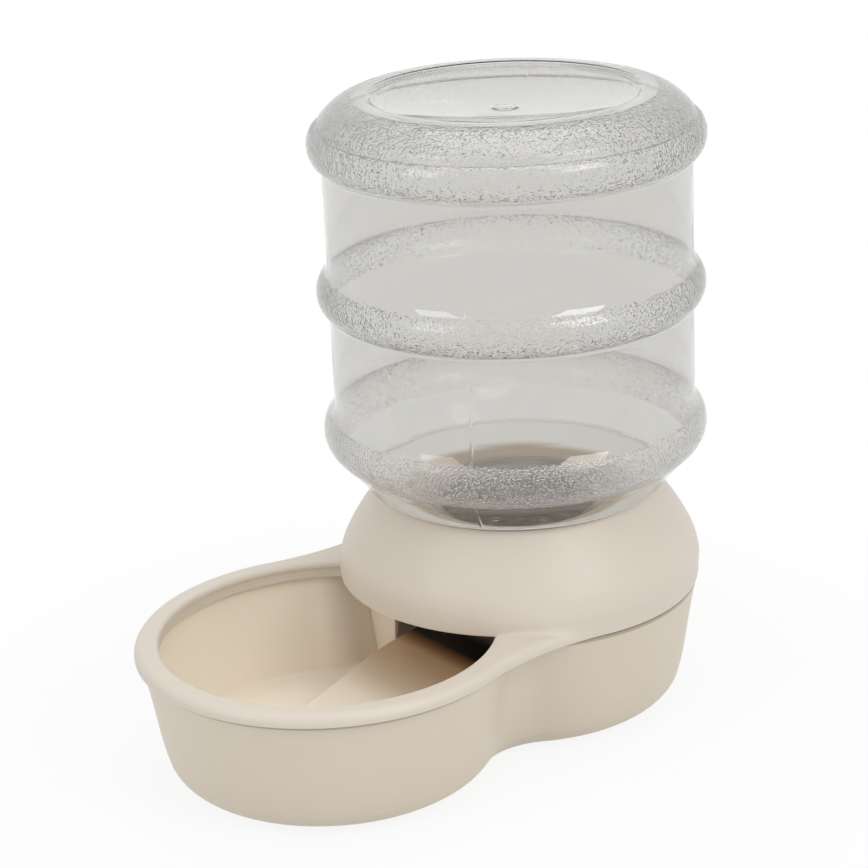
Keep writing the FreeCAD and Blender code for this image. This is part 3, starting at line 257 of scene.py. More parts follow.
class Finishes(bpy.types.PropertyGroup):
    """Colours and finishes of the pieces, with the painted light and shade on the tub and on the bottle's
    shoulder.
    """
    tub: colour("Tub", (0.70, 0.62, 0.505), "Moulded plastic of the tub")
    # painted light: the bowl's inside is paler, standing in for the light its walls throw on each other
    bowl: colour("Bowl Inside", (0.94, 0.855, 0.725), "The tub's plastic inside the bowl")
    top: colour("Top Frame", (0.705, 0.635, 0.55), "Moulded plastic of the rim and dome")
    # painted shade: the shadow under the rim's overhang, painted on the tub just under the seam
    seam_painted_shade: colour("Seam Shade", (0.42, 0.35, 0.27), "The tub's plastic just under the rim")
    # painted shade: the ramp is painted brown to black towards the doorway, where no light reaches
    shade_start: length("Shade Start", 98.2, "From the bottle's axis to where the ramp's shade starts")
    shade_end: length("Shade End", 38.2, "From the bottle's axis to where the ramp is black")
    clear: colour("Bottle", (0.768, 0.762, 0.742), "Tint of the clear bottle")
    cap: colour("Cap", (0.27, 0.24, 0.195), "Plastic of the bottle's cap")
    valve: colour("Valve", (0.62, 0.61, 0.58), "Plastic of the valve")
    seal: colour("Seals", (0.10, 0.09, 0.08), "Rubber of the gasket and the seal")
    foot: colour("Feet", (0.03, 0.03, 0.03), "Rubber of the feet")
    wire: colour("Spring", (0.55, 0.55, 0.56), "Spring wire")
    satin: share("Satin", 0.42, "Roughness of the moulded base")
    pebbles: length("Pebbles", 0.30, "Depth of the bottle's pebbled relief")
    pebble_soft: length("Pebble Edge", 0.6, "Reach over which the pebbles fade out")
    polish: share("Bottle Polish", 0.03, "Roughness of the clear walls")
    shoulder_rough: share("Shoulder Roughness", 0.5, "Roughness of the bottle's shoulder")
    shoulder: share("Shoulder", 0.85, "How matt the bottle's shoulder is")
    frost: share("Frost", 0.12, "How matt the lowest pebbled band is")
    haze: colour("Haze", (0.88, 0.87, 0.85), "Colour of the bottle's matt parts")
    # painted light: the brown of the dome's seat, as seen through the shoulder, painted on its matt part
    # within seat_seen of the axis
    painted_seat_tone: colour("Seat Tone", (0.50, 0.42, 0.33), "Colour of the shoulder close to the neck")
    seat_seen: length("Seat Seen", 49, "Radius of the shoulder's darker part")
    seat_soft: length("Seat Edge", 4, "Reach over which that part fades out")


class StudioSettings(bpy.types.PropertyGroup):
    """Camera and lights."""
    distance: length("Camera Distance", 1040.5, "From the bottle's axis to the camera, level")
    height: length("Camera Height", 511.9, "Height of the camera above the floor")
    turn: angle("Camera Turn", -39.7, "Direction of the camera around the bottle")
    pitch: angle("Camera Pitch", 20.40, "How far the camera looks down")
    yaw: angle("Camera Yaw", 2.01, "How far the camera looks past the bottle's axis")
    roll: angle("Camera Roll", -2.525, "Roll of the camera")
    lens: bpy.props.FloatProperty(name="Lens", description="Focal length on a 36 mm sensor",
                                  default=102.69, unit="CAMERA")
    key: bpy.props.FloatProperty(name="Key Light", description="Power of the key light", default=4.6)
    fill: bpy.props.FloatProperty(name="Fill Light", description="Power of the fill light", default=2.4)
    top: bpy.props.FloatProperty(name="Top Light", description="Power of the light above", default=3.6)
    sky: share("Sky", 0.60, "Strength of the even light from all round")
    white: share("White Floor", 0.88, "How white the floor looks close to the object")
    white_start: length("Fade Start", 160, "From the object's middle to where the floor grows whiter")
    white_end: length("Fade End", 300, "From the object's middle to where the floor is white")


# Curves and surfaces

def arc(centre, radius, start, end, step=4.0):
    """Points on a circle: the centre plus radius times (cos, sin) of angles spread evenly
    from start to end, in degrees, about one step apart."""
    count = max(3, int(abs(end - start) / step) + 2)
    turn = np.radians(np.linspace(start, end, count))
    return np.column_stack((centre[0] + radius * np.cos(turn), centre[1] + radius * np.sin(turn)))


def way(degrees):
    """The unit direction at an angle, in degrees."""
    return np.array((math.cos(math.radians(degrees)), math.sin(math.radians(degrees))))


def reach_along(point, direction):
    """How far a point lies along a direction: their scalar product."""
    return point[0] * direction[0] + point[1] * direction[1]


def run(*parts):
    """Join runs of points into one, leaving out a point that repeats the one before it."""
    points = np.vstack([np.atleast_2d(part) for part in parts])
    moved = np.linalg.norm(np.diff(points, axis=0), axis=1) > 1e-7
    return points[np.concatenate(([True], moved))]


def spaced(start, end, count):
    """Points spread evenly on a straight run: start plus a share of the way to end."""
    shares = np.linspace(0, 1, count)[:, None]
    return np.asarray(start) * (1 - shares) + np.asarray(end) * shares


def smooth_step(value, low, high):
    """Zero below low, one above high, and 3t^2 - 2t^3 of the share t between."""
    t = np.clip((value - low) / (high - low), 0, 1)
    return t * t * (3 - 2 * t)


def surface(name, grid, wrap_rows=False, wrap_columns=True, sharp=32):
    """An object from a grid of points: each cell of four neighbours becomes a face.
    Points that coincide, at poles and seams, are merged, and faces turned outwards."""
    rows, columns = grid.shape[:2]
    order = np.arange(rows * columns).reshape(rows, columns)
    if wrap_rows:
        order = np.vstack((order, order[:1]))
    if wrap_columns:
        order = np.hstack((order, order[:, :1]))
    cells = np.stack((order[:-1, :-1], order[:-1, 1:], order[1:, 1:], order[1:, :-1]), axis=-1)
    mesh = bpy.data.meshes.new(name)
    mesh.from_pydata(grid.reshape(-1, 3).tolist(), [], cells.reshape(-1, 4).tolist())
    return finished(name, mesh, sharp)


def prism(name, outline, low, high, axis="x"):
    """A solid from a closed outline, moved straight along one axis from low to high."""
    points = np.asarray(outline)
    count = len(points)
    ends = []
    for along in (low, high):
        level = np.full(count, along)
        columns = {"x": (level, points[:, 0], points[:, 1]),
                   "y": (points[:, 0], level, points[:, 1])}[axis]
        ends.append(np.column_stack(columns))
    first = np.arange(count)
    after = np.roll(first, -1)
    sides = np.column_stack((first, after, after + count, first + count)).tolist()
    mesh = bpy.data.meshes.new(name)
    mesh.from_pydata(np.vstack(ends).tolist(), [], sides + [first[::-1].tolist(), (first + count).tolist()])
    return finished(name, mesh)


def finished(name, mesh, sharp=32):
    """Put a mesh into the scene, with doubles merged, faces outwards and smooth shading."""
    work = bmesh.new()
    work.from_mesh(mesh)
    bmesh.ops.remove_doubles(work, verts=work.verts, dist=2e-6)
    bmesh.ops.dissolve_degenerate(work, edges=work.edges, dist=1e-6)
    bmesh.ops.recalc_face_normals(work, faces=work.faces)
    work.to_mesh(mesh)
    work.free()
    shade(mesh, sharp)
    piece = bpy.data.objects.new(name, mesh)
    bpy.context.scene.collection.objects.link(piece)
    return piece


def shade(mesh, sharp=32):
    """Shade smooth, but for edges sharper than an angle in degrees."""
    mesh.shade_smooth()
    mesh.set_sharp_from_angle(angle=math.radians(sharp))


def turned(section, turns, shift=(0, 0)):
    """Points of a section (radius, height) turned about an upright axis:
    x = radius cos turn, y = radius sin turn, z = height."""
    radius, height = section[:, 0, None], section[:, 1, None]
    return np.stack((radius * np.cos(turns) + shift[0], radius * np.sin(turns) + shift[1],
                     height + 0 * turns), axis=-1)


def settle(piece):
    """Apply the piece's modifiers to its mesh."""
    bpy.context.view_layer.update()
    settled = piece.evaluated_get(bpy.context.evaluated_depsgraph_get())
    mesh = bpy.data.meshes.new_from_object(settled)
    piece.modifiers.clear()
    piece.data = mesh


def combine(piece, others, operation):
    """Add the other solids to the piece, or cut them out of it."""
    for other in others:
        change = piece.modifiers.new(operation.lower(), "BOOLEAN")
        change.operation = operation
        change.object = other
        change.solver = "EXACT"
        settle(piece)
        bpy.data.objects.remove(other)
    shade(piece.data)
    return piece


def apply_bevel(piece, width, segments=3, limit=30):
    """Round the piece's edges that are sharper than the limit, in degrees."""
    change = piece.modifiers.new("bevel", "BEVEL")
    change.width = width
    change.segments = segments
    change.limit_method = "ANGLE"
    change.angle_limit = math.radians(limit)
    settle(piece)
    return piece


def coordinates(mesh):
    """The mesh's points, one in each row."""
    points = np.empty(len(mesh.vertices) * 3)
    mesh.vertices.foreach_get("co", points)
    return points.reshape(-1, 3)


# Shader helpers

def add_node(tree, kind, **values):
    """A shader node, with its settings and its sockets' values by name."""
    node = tree.nodes.new(kind)
    for key, value in values.items():
        name = key.replace("_", " ")
        if name in node.inputs:
            node.inputs[name].default_value = value
        else:
            setattr(node, key, value)
    return node


def join(tree, source, output, target, name):
    """Link one node's output to another's input, by their names."""
    tree.links.new(source.outputs[output], target.inputs[name])


def feed(tree, value, socket):
    """Links a socket to another, or gives it a number or colour."""
    if isinstance(value, bpy.types.NodeSocket):
        tree.links.new(value, socket)
    else:
        socket.default_value = value


def sums(tree, operation, *values, clamp=False):
    """The result of a Math node."""
    node = add_node(tree, "ShaderNodeMath", operation=operation, use_clamp=clamp)
    for socket, value in zip(node.inputs, values):
        feed(tree, value, socket)
    return node.outputs[0]


def mapped(tree, value, low, high, start, end, smooth=False):
    """A value mapped from one range to another and held at its ends."""
    kind = "SMOOTHSTEP" if smooth else "LINEAR"
    node = add_node(tree, "ShaderNodeMapRange", interpolation_type=kind)
    tree.links.new(value, node.inputs["Value"])
    for key, number in (("From Min", low), ("From Max", high), ("To Min", start), ("To Max", end)):
        node.inputs[key].default_value = number
    return node.outputs["Result"]


def mixed(tree, kind, factor, first, second):
    """Two colours, mixed."""
    node = add_node(tree, "ShaderNodeMix", data_type="RGBA", blend_type=kind)
    for socket, value in ((node.inputs[0], factor), (node.inputs[6], first), (node.inputs[7], second)):
        feed(tree, value, socket)
    return node.outputs[2]


def mixed_shader(tree, factor, first, second):
    """Two shaders, mixed."""
    node = add_node(tree, "ShaderNodeMixShader")
    for socket, value in zip(node.inputs, (factor, first, second)):
        tree.links.new(value, socket)
    return node.outputs[0]


def object_place(tree):
    """The place on the object, its height and its distance from the bottle's axis."""
    place = add_node(tree, "ShaderNodeTexCoord").outputs["Object"]
    split = add_node(tree, "ShaderNodeSeparateXYZ")
    tree.links.new(place, split.inputs["Vector"])
    centred = add_node(tree, "ShaderNodeVectorMath", operation="SUBTRACT")
    tree.links.new(place, centred.inputs[0])
    centred.inputs[1].default_value = (0, AXIS_Y, 0)
    level = add_node(tree, "ShaderNodeVectorMath", operation="MULTIPLY")
    tree.links.new(centred.outputs[0], level.inputs[0])
    level.inputs[1].default_value = (1, 1, 0)
    radius = add_node(tree, "ShaderNodeVectorMath", operation="LENGTH")
    tree.links.new(level.outputs[0], radius.inputs[0])
    return place, split.outputs["Z"], radius.outputs["Value"]


def new_group(name, inputs, outputs):
    """An empty node group with named sockets, given as (name, kind, default)."""
    group = bpy.data.node_groups.new(name, "ShaderNodeTree")
    for label, kind, default in inputs:
        socket = group.interface.new_socket(name=label, in_out="INPUT", socket_type=kind)
        socket.default_value = default
    for label, kind in outputs:
        group.interface.new_socket(name=label, in_out="OUTPUT", socket_type=kind)
    return group, group.nodes.new("NodeGroupInput"), group.nodes.new("NodeGroupOutput")


def moulded_group():
    """Moulded plastic: a faint drift of colour, uneven gloss and a very fine grain."""
    name = "Moulded Plastic"
    if name in bpy.data.node_groups:
        return bpy.data.node_groups[name]
    group, start, end = new_group(
        name,
        [("Color", "NodeSocketColor", (0.5, 0.5, 0.5, 1)), ("Drift", "NodeSocketFloat", 0.03),
         ("Roughness", "NodeSocketFloat", 0.4), ("Grain Scale", "NodeSocketFloat", 900.0),
         ("Grain Depth", "NodeSocketFloat", 0.00002)],
        [("Color", "NodeSocketColor"), ("Roughness", "NodeSocketFloat"), ("Normal", "NodeSocketVector")])
    place = add_node(group, "ShaderNodeTexCoord")
    cloud = add_node(group, "ShaderNodeTexNoise", Scale=14.0, Detail=3.0, Roughness=0.5)
    join(group, place, "Object", cloud, "Vector")
    given = start.outputs
    centred = sums(group, "SUBTRACT", cloud.outputs["Fac"], 0.5)
    tint = add_node(group, "ShaderNodeVectorMath", operation="SCALE")
    feed(group, given["Color"], tint.inputs[0])
    feed(group, sums(group, "MULTIPLY_ADD", centred, given["Drift"], 1.0), tint.inputs["Scale"])
    feed(group, tint.outputs[0], end.inputs["Color"])
    gloss = sums(group, "MULTIPLY_ADD", centred, GLOSS_DRIFT, given["Roughness"])
    feed(group, gloss, end.inputs["Roughness"])
    grain = add_node(group, "ShaderNodeTexNoise", Detail=2.0)
    join(group, place, "Object", grain, "Vector")
    join(group, start, "Grain Scale", grain, "Scale")
    bump = add_node(group, "ShaderNodeBump", Strength=0.5)
    join(group, start, "Grain Depth", bump, "Distance")
    join(group, grain, "Fac", bump, "Height")
    join(group, bump, "Normal", end, "Normal")
    return group


def new_material(name):
    """A material with an empty node tree."""
    material = bpy.data.materials.new(name)
    material.use_nodes = True
    material.node_tree.nodes.clear()
    return material, material.node_tree


def moulded_material(name, tint, roughness, drift=0.04, grain_scale=900.0, grain_depth=0.00002, **shine):
    """A material of moulded plastic, rubber or metal, from the shared group."""
    material, tree = new_material(name)
    effect = add_node(tree, "ShaderNodeGroup", node_tree=moulded_group())
    effect.inputs["Color"].default_value = (*tint, 1)
    effect.inputs["Roughness"].default_value = roughness
    effect.inputs["Drift"].default_value = drift
    effect.inputs["Grain Scale"].default_value = grain_scale
    effect.inputs["Grain Depth"].default_value = grain_depth
    surface_node = add_node(tree, "ShaderNodeBsdfPrincipled", **shine)
    join(tree, effect, "Color", surface_node, "Base Color")
    join(tree, effect, "Roughness", surface_node, "Roughness")
    join(tree, effect, "Normal", surface_node, "Normal")
    result = add_node(tree, "ShaderNodeOutputMaterial")
    join(tree, surface_node, "BSDF", result, "Surface")
    material.diffuse_color = (*tint, 1)
    return material


def pebble_group():
    """Fine pebbled relief, shown between two heights and outside a radius about the bottle's
    axis, as small round grains whose height drifts."""
    name = "Pebbled Band"
    if name in bpy.data.node_groups:
        return bpy.data.node_groups[name]
    group, start, end = new_group(
        name,
        [("Low", "NodeSocketFloat", 0.0), ("High", "NodeSocketFloat", 1.0),
         ("Inner", "NodeSocketFloat", 0.0), ("Soft", "NodeSocketFloat", 0.0006),
         ("Scale", "NodeSocketFloat", 980.0)],
        [("Height", "NodeSocketFloat")])
    place, height, radius = object_place(group)
    given = start.outputs
    mask = 1.0
    for high, low in ((height, given["Low"]), (given["High"], height), (radius, given["Inner"])):
        away = sums(group, "SUBTRACT", high, low)
        mask = sums(group, "MULTIPLY", sums(group, "DIVIDE", away, given["Soft"], clamp=True), mask)
    cells = add_node(group, "ShaderNodeTexVoronoi", feature="F1")
    feed(group, place, cells.inputs["Vector"])
    feed(group, given["Scale"], cells.inputs["Scale"])
    grains = mapped(group, cells.outputs["Distance"], *GRAIN_SLOPE, 1.0, 0.0, smooth=True)
    cloud = add_node(group, "ShaderNodeTexNoise", Scale=500.0, Detail=1.0)
    feed(group, place, cloud.inputs["Vector"])
    relief = sums(group, "MULTIPLY", grains, cloud.outputs["Fac"])
    feed(group, sums(group, "MULTIPLY", relief, mask), end.inputs["Height"])
    return group


def bottle_relief(tree, place, looks, s):
    """The normal of the bottle's surface: slow waves all over, and pebbles on three bands."""
    pebbles = 0.0
    for level, (below, above), inner in (
            (s.top_height, TOP_BAND, s.radius - s.crown_inset + CROWN_CLEAR),
            (s.middle_height, MIDDLE_BAND, 0), (s.lower_height, LOWER_BAND, 0)):
        band = add_node(tree, "ShaderNodeGroup", node_tree=pebble_group())
        for key, value in (("Low", level - below), ("High", level + above), ("Inner", inner),
                           ("Soft", looks.pebble_soft)):
            band.inputs[key].default_value = value
        pebbles = sums(tree, "ADD", band.outputs["Height"], pebbles)
    waves = add_node(tree, "ShaderNodeTexNoise", Scale=38.0, Detail=1.0)
    feed(tree, place, waves.inputs["Vector"])
    uneven = add_node(tree, "ShaderNodeBump", Strength=0.35, Distance=0.0004)
    join(tree, waves, "Fac", uneven, "Height")
    relief = add_node(tree, "ShaderNodeBump", Strength=1.0, Distance=looks.pebbles)
    feed(tree, pebbles, relief.inputs["Height"])
    join(tree, uneven, "Normal", relief, "Normal")
    return relief.outputs["Normal"]


def clear_material(looks, s):
    """Clear blown plastic: thin walls that bend the light a little, pebbled on three bands, and a matt
    shoulder above the neck, painted brown near the neck as a painted view of the dome's seat seen through
    it."""
    material, tree = new_material("clear blown plastic")
    place, height, radius = object_place(tree)

    def between(low, high, soft):
        """One between two heights and nought outside them."""
        return sums(tree, "MULTIPLY", mapped(tree, height, low, low + soft, 0, 1),
                    mapped(tree, height, high - soft, high, 1, 0))

    neck = s.neck_radius + SHOULDER_START
    shoulder = sums(tree, "MULTIPLY", mapped(tree, radius, neck, neck + SHOULDER_SOFT, 0, 1),
                    between(s.corner_height - SHOULDER_BAND[0], s.corner_height - SHOULDER_BAND[1],
                            SHOULDER_SOFT))
    glass = add_node(tree, "ShaderNodeBsdfPrincipled", Base_Color=(*looks.clear, 1), IOR=1.5,
                     Transmission_Weight=1.0)
    roughness = mapped(tree, shoulder, 0, 1, looks.polish, looks.shoulder_rough)
    feed(tree, roughness, glass.inputs["Roughness"])
    feed(tree, bottle_relief(tree, place, looks, s), glass.inputs["Normal"])
    light_path = add_node(tree, "ShaderNodeLightPath")
    open_way = add_node(tree, "ShaderNodeBsdfTransparent", Color=(0.9, 0.9, 0.89, 1))
    clear = mixed_shader(tree, light_path.outputs["Is Shadow Ray"], glass.outputs[0], open_way.outputs[0])

    lowest = between(s.lower_height - LOWER_BAND[0], s.lower_height + LOWER_BAND[1], looks.pebble_soft)
    frosted = sums(tree, "MULTIPLY", lowest, looks.frost)
    amount = sums(tree, "MULTIPLY_ADD", shoulder, looks.shoulder, frosted)
    # painted light: near the neck the matt shoulder takes the seat's brown, the colour seen through it
    outer = mapped(tree, radius, looks.seat_seen, looks.seat_seen + looks.seat_soft, 0, 1)
    matt = add_node(tree, "ShaderNodeBsdfDiffuse")
    feed(tree, mixed(tree, "MIX", outer, (*looks.painted_seat_tone, 1), (*looks.haze, 1)), matt.inputs["Color"])
    result = add_node(tree, "ShaderNodeOutputMaterial")
    feed(tree, mixed_shader(tree, amount, clear, matt.outputs[0]), result.inputs["Surface"])
    material.diffuse_color = (*looks.clear, 0.4)
    return material


def dress(piece, material):
    """Give a piece one material."""
    piece.data.materials.clear()
    piece.data.materials.append(material)
    return piece


# Bottle

def level_crossing(first, first_reach, second, second_reach):
    """The point whose reach along each of two directions is given, by Cramer's rule."""
    spread = first[0] * second[1] - first[1] * second[0]
    return ((first_reach * second[1] - first[1] * second_reach) / spread,
            (first[0] * second_reach - first_reach * second[0]) / spread)


def bead_centres(s):
    """Centres (radius, height) of the arcs of the top, middle and lower bead."""
    return ((s.radius + s.top_stand - s.top_curve, s.top_height),
            (s.radius + s.middle_stand - s.middle_curve, s.middle_height),
            (s.radius + s.lower_stand - s.lower_curve, s.lower_height))


def wall_blend(s, bead, curve, blend, inset, below):
    """The hollow arc that joins a bead to the wall below or above it, after the bead's half
    angle up to it: arccos of the level distance between both centres over their distance."""
    half = math.degrees(math.acos((s.radius + blend - bead[0]) / (curve + blend)))
    rise = (curve + blend) * way(half)[1] * (-1 if below else 1)
    centre = (s.radius + blend, bead[1] + rise)
    ends = (180 - half, 180) if below else (180, 180 + half)
    return half, arc(centre, blend + inset, *ends, 5)


def closed_end(s, inset, top, top_half):
    """Runs from the closed end's middle to the top bead's foot: the mould's gate, the dished
    disc, the recess's edge, the crown, its cone and the bead, with a soft crease between."""
    slope, meet = math.degrees(s.crown_slope), math.degrees(s.recess_angle)
    outwards = way(slope)
    crown_x = s.radius - s.crown_inset
    to_top = reach_along(top, outwards)
    crown_z = (to_top + s.top_curve - s.crown_curve - crown_x * outwards[0]) / outwards[1]
    edge = (crown_x - s.crown_ring, crown_z + s.crown_curve - s.recess_curve)
    both = s.recess_curve + s.recess_foot
    foot = edge + way(meet) * both
    edge_height = foot[1] - s.recess_foot - inset
    away = np.linspace(s.gate_radius * 2, foot[0] * 0.98, 16)
    dished = np.column_stack((away, edge_height - s.dish * (1 - (away / foot[0]) ** 2)))
    disc = dished[0, 1]
    if inset == 0:
        # shares of the ring's radius and height: a small button, and the ring around it
        gate = ((0, 0.5), (0.25, 0.45), (0.5, 0), (0.72, 0.2), (0.9, 1), (1.1, 1), (1.3, 0.2), (1.5, 0))
        middle = np.array(gate) * (s.gate_radius, s.gate_height) + (0, disc)
    else:
        middle = [(0, disc)]
    crown = arc((crown_x, crown_z), s.crown_curve - inset, 90, slope)
    bead_start = top + outwards * (s.top_curve - inset)
    cone = spaced(crown[-1], bead_start, 10)
    bead = arc(top, s.top_curve - inset, slope, -top_half)
    for part in (cone, bead):
        away = np.linalg.norm(part - bead_start, axis=1)
        part -= np.exp(-(away / s.crease_width) ** 2)[:, None] * s.crease_depth * outwards
    return (middle, dished, arc(foot, s.recess_foot + inset, -90, meet - 180, 8),
            arc(edge, s.recess_curve - inset, meet, 90, 8), crown, cone, bead)


def shoulder_and_neck(s, inset, lower):
    """Runs from the lower bead's cone to the mouth: the blend to a steeper cone, the corner
    the bottle stands on, the shoulder's blend and the neck."""
    taper, throat = -math.degrees(s.taper_slope), math.degrees(s.throat_slope) - 90
    shoulder = math.degrees(s.shoulder_slope) - 90
    corner = (s.radius - s.corner_inset, s.corner_height)
    blend = level_crossing(
        way(taper), reach_along(lower, way(taper)) + s.lower_curve + s.throat_blend,
        way(throat), reach_along(corner, way(throat)) + s.corner_curve + s.throat_blend)
    neck_x = s.neck_radius + s.neck_blend
    level, upright = way(shoulder)
    to_corner = reach_along(corner, way(shoulder))
    neck_z = (to_corner + s.corner_curve + s.neck_blend - neck_x * level) / upright
    thread_top = s.mouth + s.thread_start + s.thread_rise + s.thread_pitch / 2
    neck_rows = 60 if inset == 0 else 6
    return (arc(blend, s.throat_blend + inset, 180 + taper, 180 + throat),
            arc(corner, s.corner_curve - inset, throat, shoulder, 5),
            arc((neck_x, neck_z), s.neck_blend + inset, 180 + shoulder, 180, 6),
            spaced((s.neck_radius - inset, thread_top), (s.neck_radius - inset, s.mouth), neck_rows))


def bottle_section(s, inset):
    """Half section (radius, height) from the closed end's middle to the mouth, drawn in by
    the inset: convex arcs have their radius less the inset, hollow arcs their radius plus
    the inset, about the same centres, and straight runs join them."""
    top, middle, lower = bead_centres(s)
    top_half, top_low = wall_blend(s, top, s.top_curve, s.crisp_blend, inset, True)
    high_half, high = wall_blend(s, middle, s.middle_curve, s.soft_blend, inset, False)
    low_half, low = wall_blend(s, middle, s.middle_curve, s.crisp_blend, inset, True)
    wide_half, wide = wall_blend(s, lower, s.lower_curve, s.wide_blend, inset, False)
    return run(*closed_end(s, inset, top, top_half), top_low,
               high, arc(middle, s.middle_curve - inset, high_half, -low_half), low,
               wide, arc(lower, s.lower_curve - inset, wide_half, -math.degrees(s.taper_slope)),
               *shoulder_and_neck(s, inset, lower))


def bottle_turns(s):
    """Angles around the bottle: even steps, and close ones at the two parting lines."""
    even = np.linspace(0, 2 * math.pi, 192, endpoint=False)
    near = np.array((-3, -2, -1.4, -1, -0.6, -0.3, 0, 0.3, 0.6, 1, 1.4, 2, 3)) * s.parting_width / s.radius
    close = np.concatenate((s.parting_turn + near, s.parting_turn + math.pi + near)) % (2 * math.pi)
    return np.unique(np.round(np.concatenate((even, close)), 6))


def bottle_grid(s):
    """The closed shell: the outer section, pushed out by the thread and the parting lines,
    then the inner one back to the middle."""
    outer, inner = bottle_section(s, 0), bottle_section(s, s.wall)[::-1]
    turns = bottle_turns(s)
    grid = turned(outer, turns)
    radius, height = outer[:, 0, None], outer[:, 1, None]
    away = np.abs((turns - s.parting_turn + math.pi / 2) % math.pi - math.pi / 2)
    ridge = np.exp(-(away * radius / s.parting_width) ** 2) * s.parting_height
    ridge = ridge * smooth_step(radius, s.neck_radius + PARTING_FADE[0], s.neck_radius + PARTING_FADE[1])
    climb = (height - s.mouth - s.thread_start) / s.thread_pitch - turns / (2 * math.pi)
    cut = np.abs(climb - np.round(climb)) * s.thread_pitch
    along = np.round(climb) + turns / (2 * math.pi)
    thread_turns = s.thread_rise / s.thread_pitch
    run_out = 0.12  # share of a turn over which the ridge grows and fades
    ends = smooth_step(along, 0, run_out)
    ends = ends * (1 - smooth_step(along, thread_turns - run_out, thread_turns))
    on_neck = radius <= s.neck_radius + 1e-6
    thread = s.thread_depth * ends * (1 - smooth_step(cut, s.thread_crest, s.thread_foot)) * on_neck
    push = ridge + thread
    grid[..., 0] += push * np.cos(turns)
    grid[..., 1] += push * np.sin(turns)
    grid = np.concatenate((grid, turned(inner, turns)))
    grid[..., 1] += AXIS_Y
    return grid


class WATERER_OT_bottle(bpy.types.Operator):
    """Build the clear ribbed bottle with its neck and thread"""
    bl_idname = "waterer.bottle"
    bl_label = "Bottle"

    def execute(self, context):
        sizes, looks = context.scene.waterer_bottle, context.scene.waterer_looks
        piece = surface("clear_bottle", bottle_grid(sizes), sharp=50)
        dress(piece, clear_material(looks, sizes))
        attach(piece, "bottle")
        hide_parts("water_bottle")
        return {"FINISHED"}


# Outline of the base

def waist_centre(bowl, rear, waist, span):
    """Where a hollow arc that touches both circles has its centre, across and along: it lies
    both radii's sum away from each circle's centre."""
    far, near = rear + waist, bowl + waist
    along = (span ** 2 + far ** 2 - near ** 2) / (2 * span)
    return math.sqrt(far ** 2 - along ** 2), along


def figure_eight(bowl, rear, waist, span):
    """Outline points, outward normals and middle-line points, from two circles and the two
    hollow arcs that touch both."""
    across, along = waist_centre(bowl, rear, waist, span)
    to_rear = math.atan2(along, across)
    to_bowl = math.atan2(along - span, across)

    def circle(centre, radius, start, end, count, outward):
        """Points and normals of an arc; outward is -1 where the outline is hollow."""
        turn = np.linspace(start, end, count, endpoint=False)
        ways = np.column_stack((np.cos(turn), np.sin(turn)))
        return np.asarray(centre) + radius * ways, ways * outward

    side = math.pi - math.atan2(span - along, across)
    pieces = [
        circle((0, 0), rear, -to_rear, math.pi + to_rear, REAR_POINTS, 1),
        circle((-across, -along), waist, to_rear, to_bowl, WAIST_POINTS, -1),
        circle((0, -span), bowl, side, 3 * math.pi - side, BOWL_POINTS, 1),
        circle((across, -along), waist, math.pi - to_bowl, math.pi - to_rear, WAIST_POINTS, -1),
    ]
    points = np.vstack([piece[0] for piece in pieces])
    normals = np.vstack([piece[1] for piece in pieces])
    steps = np.linspace(0, 1, WAIST_POINTS, endpoint=False)
    middle = np.concatenate((np.zeros(REAR_POINTS), -span * steps,
                             np.full(BOWL_POINTS, -span), -span * (1 - steps)))
    return points, normals, np.column_stack((np.zeros(len(middle)), middle))


def wall_and_round(b, inset, top, floor, radius):
    """Section (inset, height) of a leaning wall and the rounding at its foot.  The
    rounding's centre lies one radius from the wall's line and one above the floor."""
    lean = b.draft
    centre = (inset + (b.seam - floor - radius) * math.tan(lean) + radius / math.cos(lean), floor + radius)
    bend = arc((0, 0), radius, -math.degrees(lean), -90, 5)
    foot = np.column_stack((centre[0] - bend[:, 0], centre[1] + bend[:, 1]))
    start = (inset + (b.seam - top) * math.tan(lean), top)
    return run(spaced(start, foot[0], 12), foot)


# Tub

def floor_top(b):
    """Height of the tub's floor: the feet, the recess under it and its thickness."""
    return b.foot + b.underside + b.floor


def inside_floor(b):
    """Height halfway into the floor, where the pieces that stand on it are rooted."""
    return floor_top(b) - b.floor / 2


